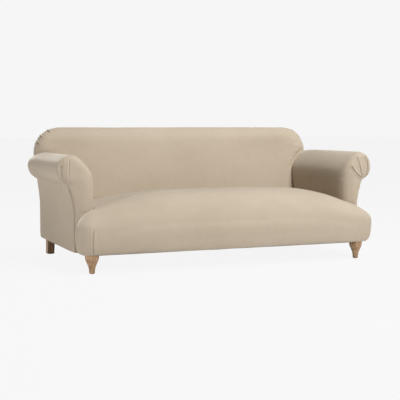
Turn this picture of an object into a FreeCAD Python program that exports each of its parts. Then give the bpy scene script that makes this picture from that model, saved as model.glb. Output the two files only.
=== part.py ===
import FreeCAD, Part
import math
import os

# English roll arm sofa with a fixed seat and a fixed back.
# Millimetres. X runs across the sofa (+X is the right-hand side seen from the
# front), Y runs from the front (-Y) to the back (+Y), Z is up from the floor.
# The origin is on the floor, in the middle of the sofa's outline.

os.makedirs("parts", exist_ok=True)

V = FreeCAD.Vector
SIDES = {"left": -1, "right": 1}

# Overall size
TOTAL_H = 800.0
FRONT_Y = -533.0
REAR_Y = 533.0
HEM_Z = 102.0

# Upholstery layers
SLACK = 4.0
COVER_T = 6.0
CLOTH_T = 1.5
STRAP_T = 2.0
STRAP_W = 50.0
GROOVE_R = 4.0

# Frame timber
RAIL_T = 25.0
RAIL_BOTTOM = HEM_Z + CLOTH_T
RAIL_TOP = 224.0
FRONT_RAIL_Y = -495.0
FRONT_RAIL_HALF = 860.0
FRONT_RAIL_CORNER_R = 28.0
SIDE_RAIL_CORNER_R = 14.0
SPRING_RAIL_Y = 245.0
SILL_Y = 480.0
FRAME_REAR_Y = 510.0
FRAME_HALF = 880.0
POST_INNER = FRAME_HALF - RAIL_T
UPRIGHT_X = 290.0
STRETCHER_X = 290.0
STRETCHER_H = 60.0

# Seat platform
WIRE_R = 2.0
WIRE_Z = RAIL_TOP + 4.0
CLOTH_Z = WIRE_Z + WIRE_R
PLATFORM_Z = CLOTH_Z + CLOTH_T
SPRING_COUNT = 12
SPRING_PITCH = 130.0
SPRING_HALF_W = 14.0
SPRING_ROWS = 31
CLIP_W = 24.0
CLIP_D = 12.0

# Seat form
SEAT_HALF = 788.0
SEAT_BELLY_Z = 240.0
SEAT_CREST_Y = -343.5
SEAT_CREST_MID = 442.0
SEAT_CREST_SIDE = 348.0
SEAT_REAR_Z = 345.0
SEAT_END = 925.0
SEAT_SIDE_REAR_Y = -334.5
SEAT_CORNER_R = 55.0

# Back form
BACK_SLOPE = 0.274
BACK_REF_Y = 272.5
BACK_REF_Z = 384.0
BACK_BOTTOM_Z = PLATFORM_Z
BACK_ROLL_Z = 690.0
BACK_RIDGE_Y = 437.5
BACK_CORNER_X = 782.0
BACK_CORNER_R = 160.0
BACK_CORNER_Z = TOTAL_H - BACK_CORNER_R
BACK_END = 942.0
BACK_END_R = 72.0
BACK_STEP_X = 870.0
BACK_END_LOW = 464.0
BACK_END_RISE = 86.0
BACK_SWELL = 12.0
BACK_PAD = 30.0
POST_TOP = 735.0
LOWER_RAIL_Z = 300.0
LOWER_RAIL_H = 50.0
TOP_RAIL_Z = 690.0
TOP_RAIL_REAR_Y = 490.0

# Arm form
ARM_FRONT_Y = -378.5
ARM_INNER = 788.0
ARM_SPRINGING_Z = 470.0
ROLL_X = 912.0
ROLL_Z = 562.0
ROLL_R = 88.0
ROLL_END_DEG = -80.0
ARM_REAR_Y = 445.0
ARM_REAR_ROUND = 55.0
ARM_CORE_INNER = 823.0
ARM_CORE_TOP = 545.0
ARM_RAIL_INNER = 825.0
ARM_LOWER_RAIL_Z = 250.0
ARM_TOP_RAIL_Z = 500.0
BOARD_T = 26.0
BOARD_FRONT_Y = -330.0
BOARD_SCROLL_R = 60.0
REAR_BOARD_Y = 390.0
ROLL_RAIL_X = 930.0
ROLL_RAIL_Z = 545.0

# Outer panels
PANEL_OUT = 25.0
PANEL_EDGE_OUT = 10.0
PANEL_TOP = 464.0

# Legs and fixings
FRONT_LEG_X = 831.0
FRONT_LEG_Y = -458.5
BACK_LEG_X = 850.0
BACK_LEG_Y = 432.0
BACK_LEG_RAKE_X = 2.0
BACK_LEG_RAKE_Y = 4.0
BACK_BOLT_X = 843.0
GLIDE_H = 3.0
GLIDE_R = 12.0
BOLT_R = 4.0
BOLT_LOW_Z = 60.0
BOLT_HIGH_Z = 150.0
BLOCK_W = 80.0
BLOCK_H = 40.0
TEE_R = 11.0
TEE_T = 2.0
TEE_BARREL_R = 5.5
TEE_BARREL_H = 12.0


def save(shape, node):
    """Write one node's shape to its own file."""
    shape.exportStep("parts/%s.step" % node)


def box(x0, x1, y0, y1, z0, z1):
    """Box between three pairs of limits."""
    return Part.makeBox(x1 - x0, y1 - y0, z1 - z0, V(x0, y0, z0))


def on_side(shape, side):
    """Right-hand shape as it is, or its mirror image for the left."""
    if side > 0:
        return shape
    return shape.mirror(V(0, 0, 0), V(1, 0, 0))


def upright_cylinder(x, y, z0, z1, radius):
    return Part.makeCylinder(radius, z1 - z0, V(x, y, z0))


def line(a, b):
    return Part.makeLine(a, b)


def spline(points):
    """Smooth curve through a few points."""
    curve = Part.BSplineCurve()
    curve.interpolate(points)
    return curve.toShape()


def superellipse(t, power):
    """Height, from 1 down to 0, of a rounded shoulder at t from 0 to 1."""
    return max(0.0, 1.0 - min(1.0, max(0.0, t)) ** power) ** (1.0 / power)


def loft(wires):
    """Solid through a row of closed outlines, straight from each to the next."""
    solid = Part.makeLoft(wires, True, True)
    if solid.Volume < 0:
        solid.reverse()
    return solid


def side_slab(points, x0, x1):
    """Outline of Y and Z pairs, drawn out along X."""
    wire = Part.makePolygon([V(x0, y, z) for y, z in points + points[:1]])
    return Part.Face(wire).extrude(V(x1 - x0, 0, 0))


def fuse_all(shapes):
    whole = shapes[0]
    for shape in shapes[1:]:
        whole = whole.fuse(shape)
    return whole


def steps(start, end, count):
    """Evenly spaced values from start to end."""
    return [start + (end - start) * i / (count - 1.0) for i in range(count)]


# Back


def back_front_y(z):
    """Plane of the leaning back's face at a height."""
    return BACK_REF_Y + BACK_SLOPE * (z - BACK_REF_Z)


def back_top(x):
    """Height of the back's top line, falling round the corners."""
    over = max(0.0, abs(x) - BACK_CORNER_X) / BACK_CORNER_R
    return BACK_CORNER_Z + BACK_CORNER_R * superellipse(over, 2.2)


def back_section(x, t, low, slack):
    """Closed outline of the back at x above low, its skin set in by t, its open sides passed by slack."""
    top = back_top(x) - t
    reach = (abs(x) + t - (BACK_END - BACK_END_R)) / BACK_END_R
    draw_in = 0.85 * BACK_END_R * (1.0 - superellipse(reach, 2.0))
    swell = BACK_SWELL * max(0.0, 1.0 - (x / BACK_STEP_X) ** 2)
    roll_z = back_roll_z(x)
    rise = top - roll_z

    def face_point(z, amount):
        return V(x, back_front_y(z) + t + draw_in - swell * amount, z)

    rear_out = max(1.0, REAR_Y - FRAME_REAR_Y - 2.0 - t - 0.35 * draw_in)
    bend_z = max(BACK_END_LOW, low) + 6.0
    front_foot = face_point(low, 0.0)
    outline = [
        face_point(bend_z, 1.0),
        face_point(0.5 * (bend_z + roll_z), 0.9),
        face_point(roll_z, 0.6),
        V(x, 381.0 + 0.9 * t + 0.7 * draw_in, roll_z + 0.66 * rise),
        V(x, BACK_RIDGE_Y + 0.3 * draw_in, top),
        V(x, 496.0 - 0.6 * t - 0.1 * draw_in, roll_z + 0.78 * rise),
        V(x, FRAME_REAR_Y + rear_out, roll_z + 0.36 * rise),
        V(x, FRAME_REAR_Y + slack, roll_z - slack),
    ]
    foot = V(x, FRAME_REAR_Y + slack, low)
    edges = [line(front_foot, outline[0]), spline(outline), line(outline[-1], foot), line(foot, front_foot)]
    return Part.Wire(edges)


def back_roll_z(x):
    """Height at which the thick roll along the back's top begins, at x."""
    top = back_top(x)
    return top - 60.0 - 50.0 * (top - BACK_CORNER_Z) / BACK_CORNER_R


def back_form(t, slack):
    """Whole outer shape of the back, its skin set in by t."""
    base = BACK_BOTTOM_Z - slack
    whole = loft([back_section(x, t, base, slack) for x in steps(-BACK_CORNER_X, BACK_CORNER_X, 7)])
    for side in SIDES.values():
        near = steps(BACK_CORNER_X, BACK_STEP_X + slack, 6)
        far = steps(BACK_STEP_X + slack, BACK_END - t, 7)
        whole = whole.fuse(loft([back_section(side * x, t, base, slack) for x in near]))
        end = []
        for x in far:
            low = BACK_END_LOW + BACK_END_RISE * max(0.0, x - FRAME_HALF) / (BACK_END - FRAME_HALF)
            end.append(back_section(side * x, t, low - slack, slack))
        whole = whole.fuse(loft(end))
    return whole


# Seat


def seat_crest(x):
    """Height of the seat's highest line across the sofa."""
    if abs(x) <= SEAT_HALF:
        share = (abs(x) / SEAT_HALF) ** 3.7
        return SEAT_CREST_MID + (SEAT_CREST_SIDE - SEAT_CREST_MID) * share
    out = (abs(x) - SEAT_HALF) / (SEAT_END + 3.0 - SEAT_HALF)
    return SEAT_BELLY_Z + (SEAT_CREST_SIDE - SEAT_BELLY_Z) * superellipse(out, 1.75)


def corner_y(x, straight_y, corner_x, radius):
    """Plan line of the front edge, turning the corner at its end."""
    if abs(x) <= corner_x:
        return straight_y
    across = min(radius, abs(x) - corner_x)
    return straight_y + radius - math.sqrt(radius ** 2 - across ** 2)


def seat_front(x):
    """Foremost line of the seat, bowed a little towards the middle."""
    bow = FRONT_Y + 9.0 * (x / 800.0) ** 2
    return corner_y(x, bow, SEAT_END - SEAT_CORNER_R, SEAT_CORNER_R)


def seat_section(x, rear_y, t):
    """Closed outline of the seat's front part at x, back to rear_y, skin set in by t."""
    belly = seat_front(x) + t
    crest = seat_crest(x) - t
    depth = SEAT_CREST_Y - belly
    rise = crest - SEAT_BELLY_Z
    front = [V(x, belly + 20.0, HEM_Z), V(x, belly + 6.0, 0.5 * (HEM_Z + SEAT_BELLY_Z))]
    for degrees in (0.0, 22.0, 45.0, 68.0, 90.0):
        angle = math.radians(degrees)
        y = SEAT_CREST_Y - depth * math.cos(angle) ** 0.93
        front.append(V(x, y, SEAT_BELLY_Z + rise * math.sin(angle) ** 0.93))
    top = V(x, rear_y, crest)
    foot = V(x, rear_y, HEM_Z)
    return Part.Wire([spline(front), line(front[-1], top), line(top, foot), line(foot, front[0])])


def seat_rear_section(x, start_y, rear_y, t):
    """Closed outline of the seat at x from start_y, behind the crest, down to the back."""
    crest = seat_crest(x) - t
    drop = SEAT_REAR_Z - t - crest
    top = []
    for share in (0.0, 0.33, 0.67, 1.0):
        top.append(V(x, start_y + (rear_y - start_y) * share, crest + drop * share ** 2))
    foot = V(x, back_front_y(HEM_Z) - t, HEM_Z)
    start = V(x, start_y, HEM_Z)
    return Part.Wire([spline(top), line(top[-1], foot), line(foot, start), line(start, top[0])])


def seat_end_cutter(side, t):
    """Everything beyond the seat's rounded end, seen from the front and above."""
    edge = SEAT_END - t
    hem_x = 892.0 - t
    points = [V(hem_x, 0, HEM_Z - 1.0), V(edge - 8.0, 0, HEM_Z + 14.0), V(edge, 0, 165.0), V(edge, 0, 236.0)]
    outline = [spline(points), line(points[-1], V(edge, 0, 500.0)), line(V(edge, 0, 500.0), V(1100.0, 0, 500.0)),
               line(V(1100.0, 0, 500.0), V(1100.0, 0, HEM_Z - 1.0)), line(V(1100.0, 0, HEM_Z - 1.0), points[0])]
    face = Part.Face(Part.Wire(outline))
    face.translate(V(0, -700.0, 0))
    front_view = face.extrude(V(0, 500.0, 0))
    plan = Part.Face(Part.makePolygon([V(edge + 4.0, -470.0, 0), V(891.0 - t, SEAT_SIDE_REAR_Y, 0),
                                       V(891.0 - t, 0, 0), V(1100.0, 0, 0), V(1100.0, -470.0, 0),
                                       V(edge + 4.0, -470.0, 0)]))
    top_view = plan.extrude(V(0, 0, 600.0))
    return on_side(front_view.fuse(top_view), side)


def seat_form(t):
    """Whole outer shape of the seat, its skin set in by t."""
    start_y = SEAT_SIDE_REAR_Y - t
    rear_y = back_front_y(SEAT_REAR_Z) - t
    limit = SEAT_HALF - 0.3 - t
    middle = steps(-limit, limit, 15)
    right_end = steps(limit, SEAT_END - t, 10)
    left_end = [-x for x in reversed(right_end)]
    stations = left_end[:-1] + middle + right_end[1:]
    front = loft([seat_section(x, start_y, t) for x in stations])
    for side in SIDES.values():
        front = front.cut(seat_end_cutter(side, t))
    return front.fuse(loft([seat_rear_section(x, start_y, rear_y, t) for x in middle]))


# Arms


def arm_low_edge(z, flare):
    """How far out the arm's front stands below the roll, at a height."""
    return 890.0 + flare * max(0.0, (z - 330.0) / 142.0) ** 1.6


def arm_section(y, t, front_pad, slack):
    """Closed outline of the arm at y, its skin set in by t and its open sides passed by slack."""
    base = PLATFORM_Z - slack
    radius = ROLL_R - t
    end = math.radians(ROLL_END_DEG)
    tip = V(ROLL_X + radius * math.cos(end), y, ROLL_Z + radius * math.sin(end))
    inner = [V(ARM_INNER + t, y, ARM_SPRINGING_Z), V(802.0 + t, y, 549.0 - 0.3 * t),
             V(851.0 + 0.7 * t, y, 613.0 - 0.8 * t), V(ROLL_X, y, ROLL_Z + radius)]
    curve = Part.BSplineCurve()
    curve.interpolate(Points=inner, InitialTangent=V(0, 0, 1), FinalTangent=V(1, 0, 0))
    edges = [line(V(ARM_INNER + t, y, base), inner[0]), curve.toShape()]
    edges.append(Part.Arc(inner[-1], V(ROLL_X + radius, y, ROLL_Z), tip).toShape())
    if front_pad:
        waist = V(arm_low_edge(472.0, 34.0) - t, y, 470.0)
        knee = V(arm_low_edge(400.0, 34.0) - t, y, 400.0)
        foot = V(arm_low_edge(0.0, 0.0) - t, y, base)
        edges += [line(tip, waist), line(waist, knee), line(knee, foot)]
    else:
        waist = V(FRAME_HALF + slack, y, 465.0 + t)
        foot = V(FRAME_HALF + slack, y, base)
        edges += [line(tip, waist), line(waist, foot)]
    edges.append(line(foot, V(ARM_INNER + t, y, base)))
    return Part.Wire(edges)


def arm_form(t, slack):
    """Whole outer shape of the right arm, its skin set in by t."""
    front = []
    for degrees in (0.0, 30.0, 60.0, 90.0):
        angle = math.radians(degrees)
        y = ARM_FRONT_Y + t + (40.0 - t) * (1.0 - math.cos(angle))
        front.append(arm_section(y, t + 30.0 * (1.0 - math.sin(angle)), True, slack))
    front.append(arm_section(SEAT_SIDE_REAR_Y + slack, t, True, slack))
    middle_front = SEAT_SIDE_REAR_Y - 1.0 - slack
    middle_rear = ARM_REAR_Y - ARM_REAR_ROUND
    middle = loft([arm_section(y, t, False, slack) for y in (middle_front, middle_rear)])
    rear = []
    for degrees in (90.0, 65.0, 40.0, 15.0):
        angle = math.radians(degrees)
        y = ARM_REAR_Y - t - (ARM_REAR_ROUND - t) * (1.0 - math.cos(angle))
        rear.append(arm_section(y, t + 0.8 * ARM_REAR_ROUND * (1.0 - math.sin(angle)), False, slack))
    return loft(front).fuse(middle).fuse(loft(rear))


# Outer panels


def side_panel_section(y, out, low_flare, high_flare):
    """Closed outline of the outside arm panel at y."""
    face = FRAME_HALF + out
    outer = [V(face - 3.0, y, HEM_Z), V(face, y, 130.0), V(face, y, 300.0),
             V(face + low_flare, y, 400.0), V(face + high_flare, y, PANEL_TOP)]
    foot = V(FRAME_HALF, y, HEM_Z)
    head = V(FRAME_HALF, y, PANEL_TOP - 2.0)
    return Part.Wire([spline(outer), line(outer[-1], head), line(head, foot), line(foot, outer[0])])


def side_panel():
    """Padded outside panel of the right arm, drawn in at its front and rear edges."""
    front_y = SEAT_SIDE_REAR_Y + 0.3
    span = FRAME_REAR_Y - front_y
    wires = []
    for share in (0.0, 0.05, 0.12, 0.25, 0.5, 0.75, 0.9, 0.96, 1.0):
        edge = superellipse(abs(2.0 * share - 1.0), 4.0)
        out = PANEL_EDGE_OUT + (PANEL_OUT - PANEL_EDGE_OUT) * edge
        front_share = max(0.0, 1.0 - 5.0 * share)
        low_flare = 7.0 + 6.0 * front_share
        high_flare = 16.0 + 16.0 * front_share
        wires.append(side_panel_section(front_y + span * share, out, low_flare, high_flare))
    return loft(wires)


def back_panel_outline(y, t):
    """Closed outline of the outside back, set in by t, at depth y."""
    half = [(889.0, HEM_Z), (893.0, 240.0), (898.0, 400.0), (908.0, 480.0), (922.0, 560.0), (927.0, 600.0),
            (925.0, 634.0), (908.0, 652.0), (880.0, 668.0), (BACK_CORNER_X, BACK_ROLL_Z - 1.0)]
    right = [V(x - t, y, z - (t if z > 620.0 else 0.0)) for x, z in half]
    left = [V(-p.x, p.y, p.z) for p in reversed(right)]
    edges = [spline(right[:6]), spline(right[5:]), line(right[-1], left[0])]
    edges += [spline(left[:5]), spline(left[4:]), line(left[-1], right[0])]
    return Part.Wire(edges)


def back_panel():
    """Padded outside back, its edges rounded over towards the rear."""
    layers = ((FRAME_REAR_Y, 0.0), (REAR_Y - 12.0, 0.0), (REAR_Y - 5.0, 3.0), (REAR_Y - 1.0, 8.0), (REAR_Y, 14.0))
    return loft([back_panel_outline(y, t) for y, t in layers])


# Timber frame


def rounded_ends(x_half, y0, y1, z0, z1, radius):
    """Box across the sofa with its two front upright edges rounded."""
    solid = box(-x_half, x_half, y0, y1, z0, z1)
    edges = []
    for edge in solid.Edges:
        centre = edge.CenterOfMass
        if abs(centre.y - y0) < 0.01 and abs(abs(centre.x) - x_half) < 0.01:
            edges.append(edge)
    return solid.makeFillet(radius, edges)


def platform_void():
    """Space under the seat's springs, within the rails' outer faces."""
    across = rounded_ends(FRONT_RAIL_HALF, FRONT_RAIL_Y, FRAME_REAR_Y, HEM_Z - 20.0, PLATFORM_Z, FRONT_RAIL_CORNER_R)
    along = rounded_ends(FRAME_HALF, FRONT_RAIL_Y + RAIL_T, FRAME_REAR_Y, HEM_Z - 20.0, PLATFORM_Z,
                         SIDE_RAIL_CORNER_R)
    return across.fuse(along)


def front_seat_rail():
    rear = FRONT_RAIL_Y + RAIL_T
    rail = rounded_ends(FRONT_RAIL_HALF, FRONT_RAIL_Y, rear + 10.0, RAIL_BOTTOM, RAIL_TOP, FRONT_RAIL_CORNER_R)
    return rail.cut(box(-900.0, 900.0, rear, rear + 20.0, 0.0, 300.0))


def side_rail():
    front = FRONT_RAIL_Y + RAIL_T
    frame = rounded_ends(FRAME_HALF, front, SILL_Y, RAIL_BOTTOM, RAIL_TOP, SIDE_RAIL_CORNER_R)
    return frame.common(box(POST_INNER, FRAME_HALF, front, SILL_Y, 0.0, 300.0))


def seat_stretchers():
    z0 = RAIL_TOP - 14.0 - STRETCHER_H
    bars = []
    for side in SIDES.values():
        x0 = side * STRETCHER_X - 0.5 * RAIL_T
        x1 = x0 + RAIL_T
        bars.append(box(x0, x1, FRONT_RAIL_Y + RAIL_T, SPRING_RAIL_Y, z0, z0 + STRETCHER_H))
        bars.append(box(x0, x1, SPRING_RAIL_Y + RAIL_T, SILL_Y, z0, z0 + STRETCHER_H))
    return bars


def back_slab(z0, z1, near, far, x0, x1):
    """Piece lying along the back's slope between two distances behind its face."""
    return side_slab([(back_front_y(z0) + near, z0), (back_front_y(z1) + near, z1),
                      (back_front_y(z1) + far, z1), (back_front_y(z0) + far, z0)], x0, x1)


def back_lower_rail():
    return back_slab(LOWER_RAIL_Z, LOWER_RAIL_Z + LOWER_RAIL_H, BACK_PAD + STRAP_T, BACK_PAD + STRAP_T + RAIL_T,
                     -POST_INNER, POST_INNER)


def back_top_rail():
    front = BACK_PAD + STRAP_T
    return side_slab([(back_front_y(TOP_RAIL_Z) + front, TOP_RAIL_Z), (back_front_y(POST_TOP) + front, POST_TOP),
                      (TOP_RAIL_REAR_Y, POST_TOP), (TOP_RAIL_REAR_Y, TOP_RAIL_Z)], -POST_INNER, POST_INNER)


def back_frame_board(x0, x1):
    """Wedge-shaped board from the rails up to the top of the back."""
    front = BACK_PAD + STRAP_T
    return side_slab([(back_front_y(RAIL_TOP) + front, RAIL_TOP), (back_front_y(POST_TOP) + front, POST_TOP),
                      (FRAME_REAR_Y, POST_TOP), (FRAME_REAR_Y, RAIL_TOP)], x0, x1)


def back_uprights():
    boards = []
    for side in SIDES.values():
        x0 = side * UPRIGHT_X - 0.5 * RAIL_T
        board = back_frame_board(x0, x0 + RAIL_T)
        boards.append(board.cut(back_lower_rail()).cut(back_top_rail()))
    return boards


def back_core():
    """Space that the back's frame and straps fill, behind the padding."""
    rear = FRAME_REAR_Y + SLACK
    return side_slab([(back_front_y(BACK_BOTTOM_Z - 40.0) + BACK_PAD, BACK_BOTTOM_Z - 40.0),
                      (back_front_y(POST_TOP) + BACK_PAD, POST_TOP), (rear, POST_TOP),
                      (rear, BACK_BOTTOM_Z - 40.0)], -FRAME_HALF - 1.0, FRAME_HALF + 1.0)


def corner_blocks(front_y):
    """Glued blocks in two corners, which take the leg bolts."""
    blocks = []
    for side in SIDES.values():
        block = box(POST_INNER - BLOCK_W, POST_INNER, front_y, front_y + BLOCK_W, RAIL_BOTTOM, RAIL_BOTTOM + BLOCK_H)
        blocks.append(on_side(block, side))
    return blocks


def arm_front_board():
    """Upright board with a round head that gives the arm its scroll."""
    stem = box(ARM_RAIL_INNER, FRAME_HALF, BOARD_FRONT_Y, BOARD_FRONT_Y + BOARD_T, RAIL_TOP, ROLL_Z)
    head = Part.makeCylinder(BOARD_SCROLL_R, BOARD_T, V(ROLL_X, BOARD_FRONT_Y, ROLL_Z), V(0, 1, 0))
    return stem.fuse(head).removeSplitter()


def arm_rear_board():
    """Half-round board on the outside of the back post, behind the scroll."""
    head = Part.makeCylinder(BOARD_SCROLL_R, BOARD_T, V(ROLL_X, REAR_BOARD_Y, ROLL_Z), V(0, 1, 0))
    return head.common(box(FRAME_HALF, 1000.0, REAR_BOARD_Y, REAR_BOARD_Y + BOARD_T, 400.0, 700.0))


def arm_rail(z0, z1, rear_y):
    return box(ARM_RAIL_INNER, POST_INNER, BOARD_FRONT_Y + BOARD_T, rear_y, z0, z1)


def arm_roll_rail():
    return box(ROLL_RAIL_X, ROLL_RAIL_X + 30.0, BOARD_FRONT_Y + BOARD_T, REAR_BOARD_Y, ROLL_RAIL_Z, ROLL_RAIL_Z + 40.0)


def arm_webbing():
    straps = []
    for y in steps(-260.0, 190.0, 6):
        straps.append(box(ARM_CORE_INNER, ARM_RAIL_INNER, y - 0.5 * STRAP_W, y + 0.5 * STRAP_W,
                          ARM_LOWER_RAIL_Z, ARM_CORE_TOP))
    return straps


def back_webbing():
    straps = []
    for x in steps(-770.0, 770.0, 12):
        straps.append(back_slab(LOWER_RAIL_Z, POST_TOP, BACK_PAD, BACK_PAD + STRAP_T,
                                x - 0.5 * STRAP_W, x + 0.5 * STRAP_W))
    return straps


# Seat platform


def spring_wire():
    """Flat zigzag spring from the front rail to the rail under the back."""
    front = FRONT_RAIL_Y + 0.5 * RAIL_T
    rear = SPRING_RAIL_Y + 0.5 * RAIL_T
    pitch = (rear - front) / (SPRING_ROWS - 1.0)
    edges = []
    for row in range(SPRING_ROWS):
        y = front + pitch * row
        way = 1.0 if row % 2 == 0 else -1.0
        tip = V(way * SPRING_HALF_W, y, WIRE_Z)
        edges.append(line(V(-way * SPRING_HALF_W, y, WIRE_Z), tip))
        if row < SPRING_ROWS - 1:
            bend = V(way * (SPRING_HALF_W + 0.5 * pitch), y + 0.5 * pitch, WIRE_Z)
            edges.append(Part.Arc(tip, bend, V(tip.x, y + pitch, WIRE_Z)).toShape())
    path = Part.Wire(edges)
    ring = Part.Wire([Part.makeCircle(WIRE_R, V(-SPRING_HALF_W, front, WIRE_Z), V(1, 0, 0))])
    return path.makePipeShell([ring], True, False)


def spring_positions():
    return [SPRING_PITCH * (i - 0.5 * (SPRING_COUNT - 1)) for i in range(SPRING_COUNT)]


def spring_clips():
    clips = []
    wire = Part.makeCylinder(WIRE_R, 2.0 * SPRING_HALF_W, V(-SPRING_HALF_W, 0, WIRE_Z), V(1, 0, 0))
    for rail_y in (FRONT_RAIL_Y, SPRING_RAIL_Y):
        y = rail_y + 0.5 * RAIL_T
        block = box(-0.5 * CLIP_W, 0.5 * CLIP_W, y - 0.5 * CLIP_D, y + 0.5 * CLIP_D, RAIL_TOP, CLOTH_Z)
        tunnel = wire.copy()
        tunnel.translate(V(0, y, 0))
        mouth = box(-CLIP_W, CLIP_W, y - WIRE_R, y + WIRE_R, WIRE_Z, CLOTH_Z + 1.0)
        block = block.cut(tunnel).cut(mouth)
        for x in spring_positions():
            clip = block.copy()
            clip.translate(V(x, 0, 0))
            clips.append(clip)
    return clips


def seat_hessian():
    rear = back_front_y(RAIL_TOP) + BACK_PAD - 4.0
    return box(-ARM_CORE_INNER, ARM_CORE_INNER, FRONT_RAIL_Y, rear, CLOTH_Z, PLATFORM_Z)


# Legs and fixings


def front_leg():
    """Turned leg: full round top, falling in to a slim foot."""
    top = RAIL_BOTTOM
    radii = ((38.0, top), (38.6, 91.0), (36.6, 78.0), (31.0, 64.0), (24.6, 49.0), (19.6, 35.0),
             (17.2, 22.0), (16.0, 11.0), (15.6, GLIDE_H))
    side = spline([V(r, 0, z) for r, z in radii])
    foot = V(0, 0, GLIDE_H)
    head = V(0, 0, top)
    outline = Part.Wire([side, line(V(15.6, 0, GLIDE_H), foot), line(foot, head), line(head, V(38.0, 0, top))])
    leg = Part.Face(outline).revolve(V(0, 0, 0), V(0, 0, 1), 360)
    leg.translate(V(FRONT_LEG_X, FRONT_LEG_Y, 0))
    return leg.cut(upright_cylinder(FRONT_LEG_X, FRONT_LEG_Y, BOLT_LOW_Z, RAIL_BOTTOM + 5.0, BOLT_R))


def rectangle(x, y, z, half_x, half_y):
    corners = [V(x - half_x, y - half_y, z), V(x + half_x, y - half_y, z), V(x + half_x, y + half_y, z),
               V(x - half_x, y + half_y, z)]
    return Part.makePolygon(corners + corners[:1])


def back_leg():
    """Plain square leg, tapered a little and raked to the rear."""
    low = rectangle(BACK_LEG_X + BACK_LEG_RAKE_X, BACK_LEG_Y + BACK_LEG_RAKE_Y, GLIDE_H, 21.0, 26.0)
    high = rectangle(BACK_LEG_X, BACK_LEG_Y, RAIL_BOTTOM, 23.0, 29.0)
    leg = loft([low, high])
    edges = []
    for edge in leg.Edges:
        if edge.BoundBox.ZLength > 50.0:
            edges.append(edge)
    leg = leg.makeFillet(2.0, edges)
    return leg.cut(upright_cylinder(BACK_BOLT_X, BACK_LEG_Y, BOLT_LOW_Z, RAIL_BOTTOM + 5.0, BOLT_R))


def bolt_spots():
    spots = []
    for side in SIDES.values():
        spots.append((side * FRONT_LEG_X, FRONT_LEG_Y))
        spots.append((side * BACK_BOLT_X, BACK_LEG_Y))
    return spots


def leg_bolts():
    return [upright_cylinder(x, y, BOLT_LOW_Z, BOLT_HIGH_Z, BOLT_R) for x, y in bolt_spots()]


def tee_nuts():
    nuts = []
    top = RAIL_BOTTOM + BLOCK_H
    for x, y in bolt_spots():
        flange = upright_cylinder(x, y, top, top + TEE_T, TEE_R)
        barrel = upright_cylinder(x, y, top - TEE_BARREL_H, top, TEE_BARREL_R)
        nuts.append(flange.fuse(barrel).cut(upright_cylinder(x, y, 0.0, 200.0, BOLT_R)).removeSplitter())
    return nuts


def foot_glides():
    glides = []
    for side in SIDES.values():
        glides.append(upright_cylinder(side * FRONT_LEG_X, FRONT_LEG_Y, 0.0, GLIDE_H, GLIDE_R))
        glides.append(upright_cylinder(side * (BACK_LEG_X + BACK_LEG_RAKE_X), BACK_LEG_Y + BACK_LEG_RAKE_Y,
                                       0.0, GLIDE_H, GLIDE_R))
    return glides


# Folds in the covers


def groove(points):
    """Round channel along straight runs, for pressing a fold into a cover."""
    parts = []
    for a, b in zip(points[:-1], points[1:]):
        parts.append(Part.makeCylinder(GROOVE_R, (b - a).Length, a, b - a))
        parts.append(Part.makeSphere(GROOVE_R, b))
    return fuse_all(parts)


def arm_front_folds():
    """Three pleats fanning out over the scroll from under the roll."""
    fan = V(924.0, ARM_FRONT_Y - 1.0, 482.0)
    folds = []
    for degrees in (128.0, 92.0, 52.0):
        angle = math.radians(degrees)
        reach = ROLL_R - 16.0
        rim = V(ROLL_X + reach * math.cos(angle), ARM_FRONT_Y - 1.0, ROLL_Z + reach * math.sin(angle))
        over = V(ROLL_X + (ROLL_R + 2.0) * math.cos(angle), ARM_FRONT_Y + 30.0,
                 ROLL_Z + (ROLL_R + 2.0) * math.sin(angle))
        folds.append(groove([fan, rim, over]))
    return folds


def seat_corner_fold():
    """Tucked fold down the front corner of the seat, above the leg."""
    y = seat_front(840.0)
    return groove([V(842.0, y - 1.5, 226.0), V(846.0, y + 4.0, 165.0), V(838.0, y + 18.0, 100.0)])


def back_corner_folds():
    """Three short pleats round the back's top corner."""
    folds = []
    for degrees in (66.0, 46.0, 28.0):
        angle = math.radians(degrees)
        x = BACK_CORNER_X + (BACK_CORNER_R + 2.5) * math.cos(angle)
        z = BACK_CORNER_Z + (BACK_CORNER_R + 2.5) * math.sin(angle)
        folds.append(groove([V(x - 10.0, 405.0, z - 10.0), V(x, 440.0, z), V(x - 6.0, 490.0, z - 6.0)]))
    return folds


# Putting it together


def cover_and_filling(outer, cutter, inner, holes):
    """Skin and filling of a form, with the same holes taken out of both."""
    cover = outer.cut(cutter)
    filling = inner
    for hole in holes:
        cover = cover.cut(hole)
        filling = filling.cut(hole)
    return cover, filling


def whole_solids(shape, least):
    """Compound of a shape's solids, without slivers smaller than least."""
    kept = [solid for solid in shape.Solids if solid.Volume > least]
    if len(kept) == 1:
        return kept[0]
    return Part.makeCompound(kept)


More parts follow.
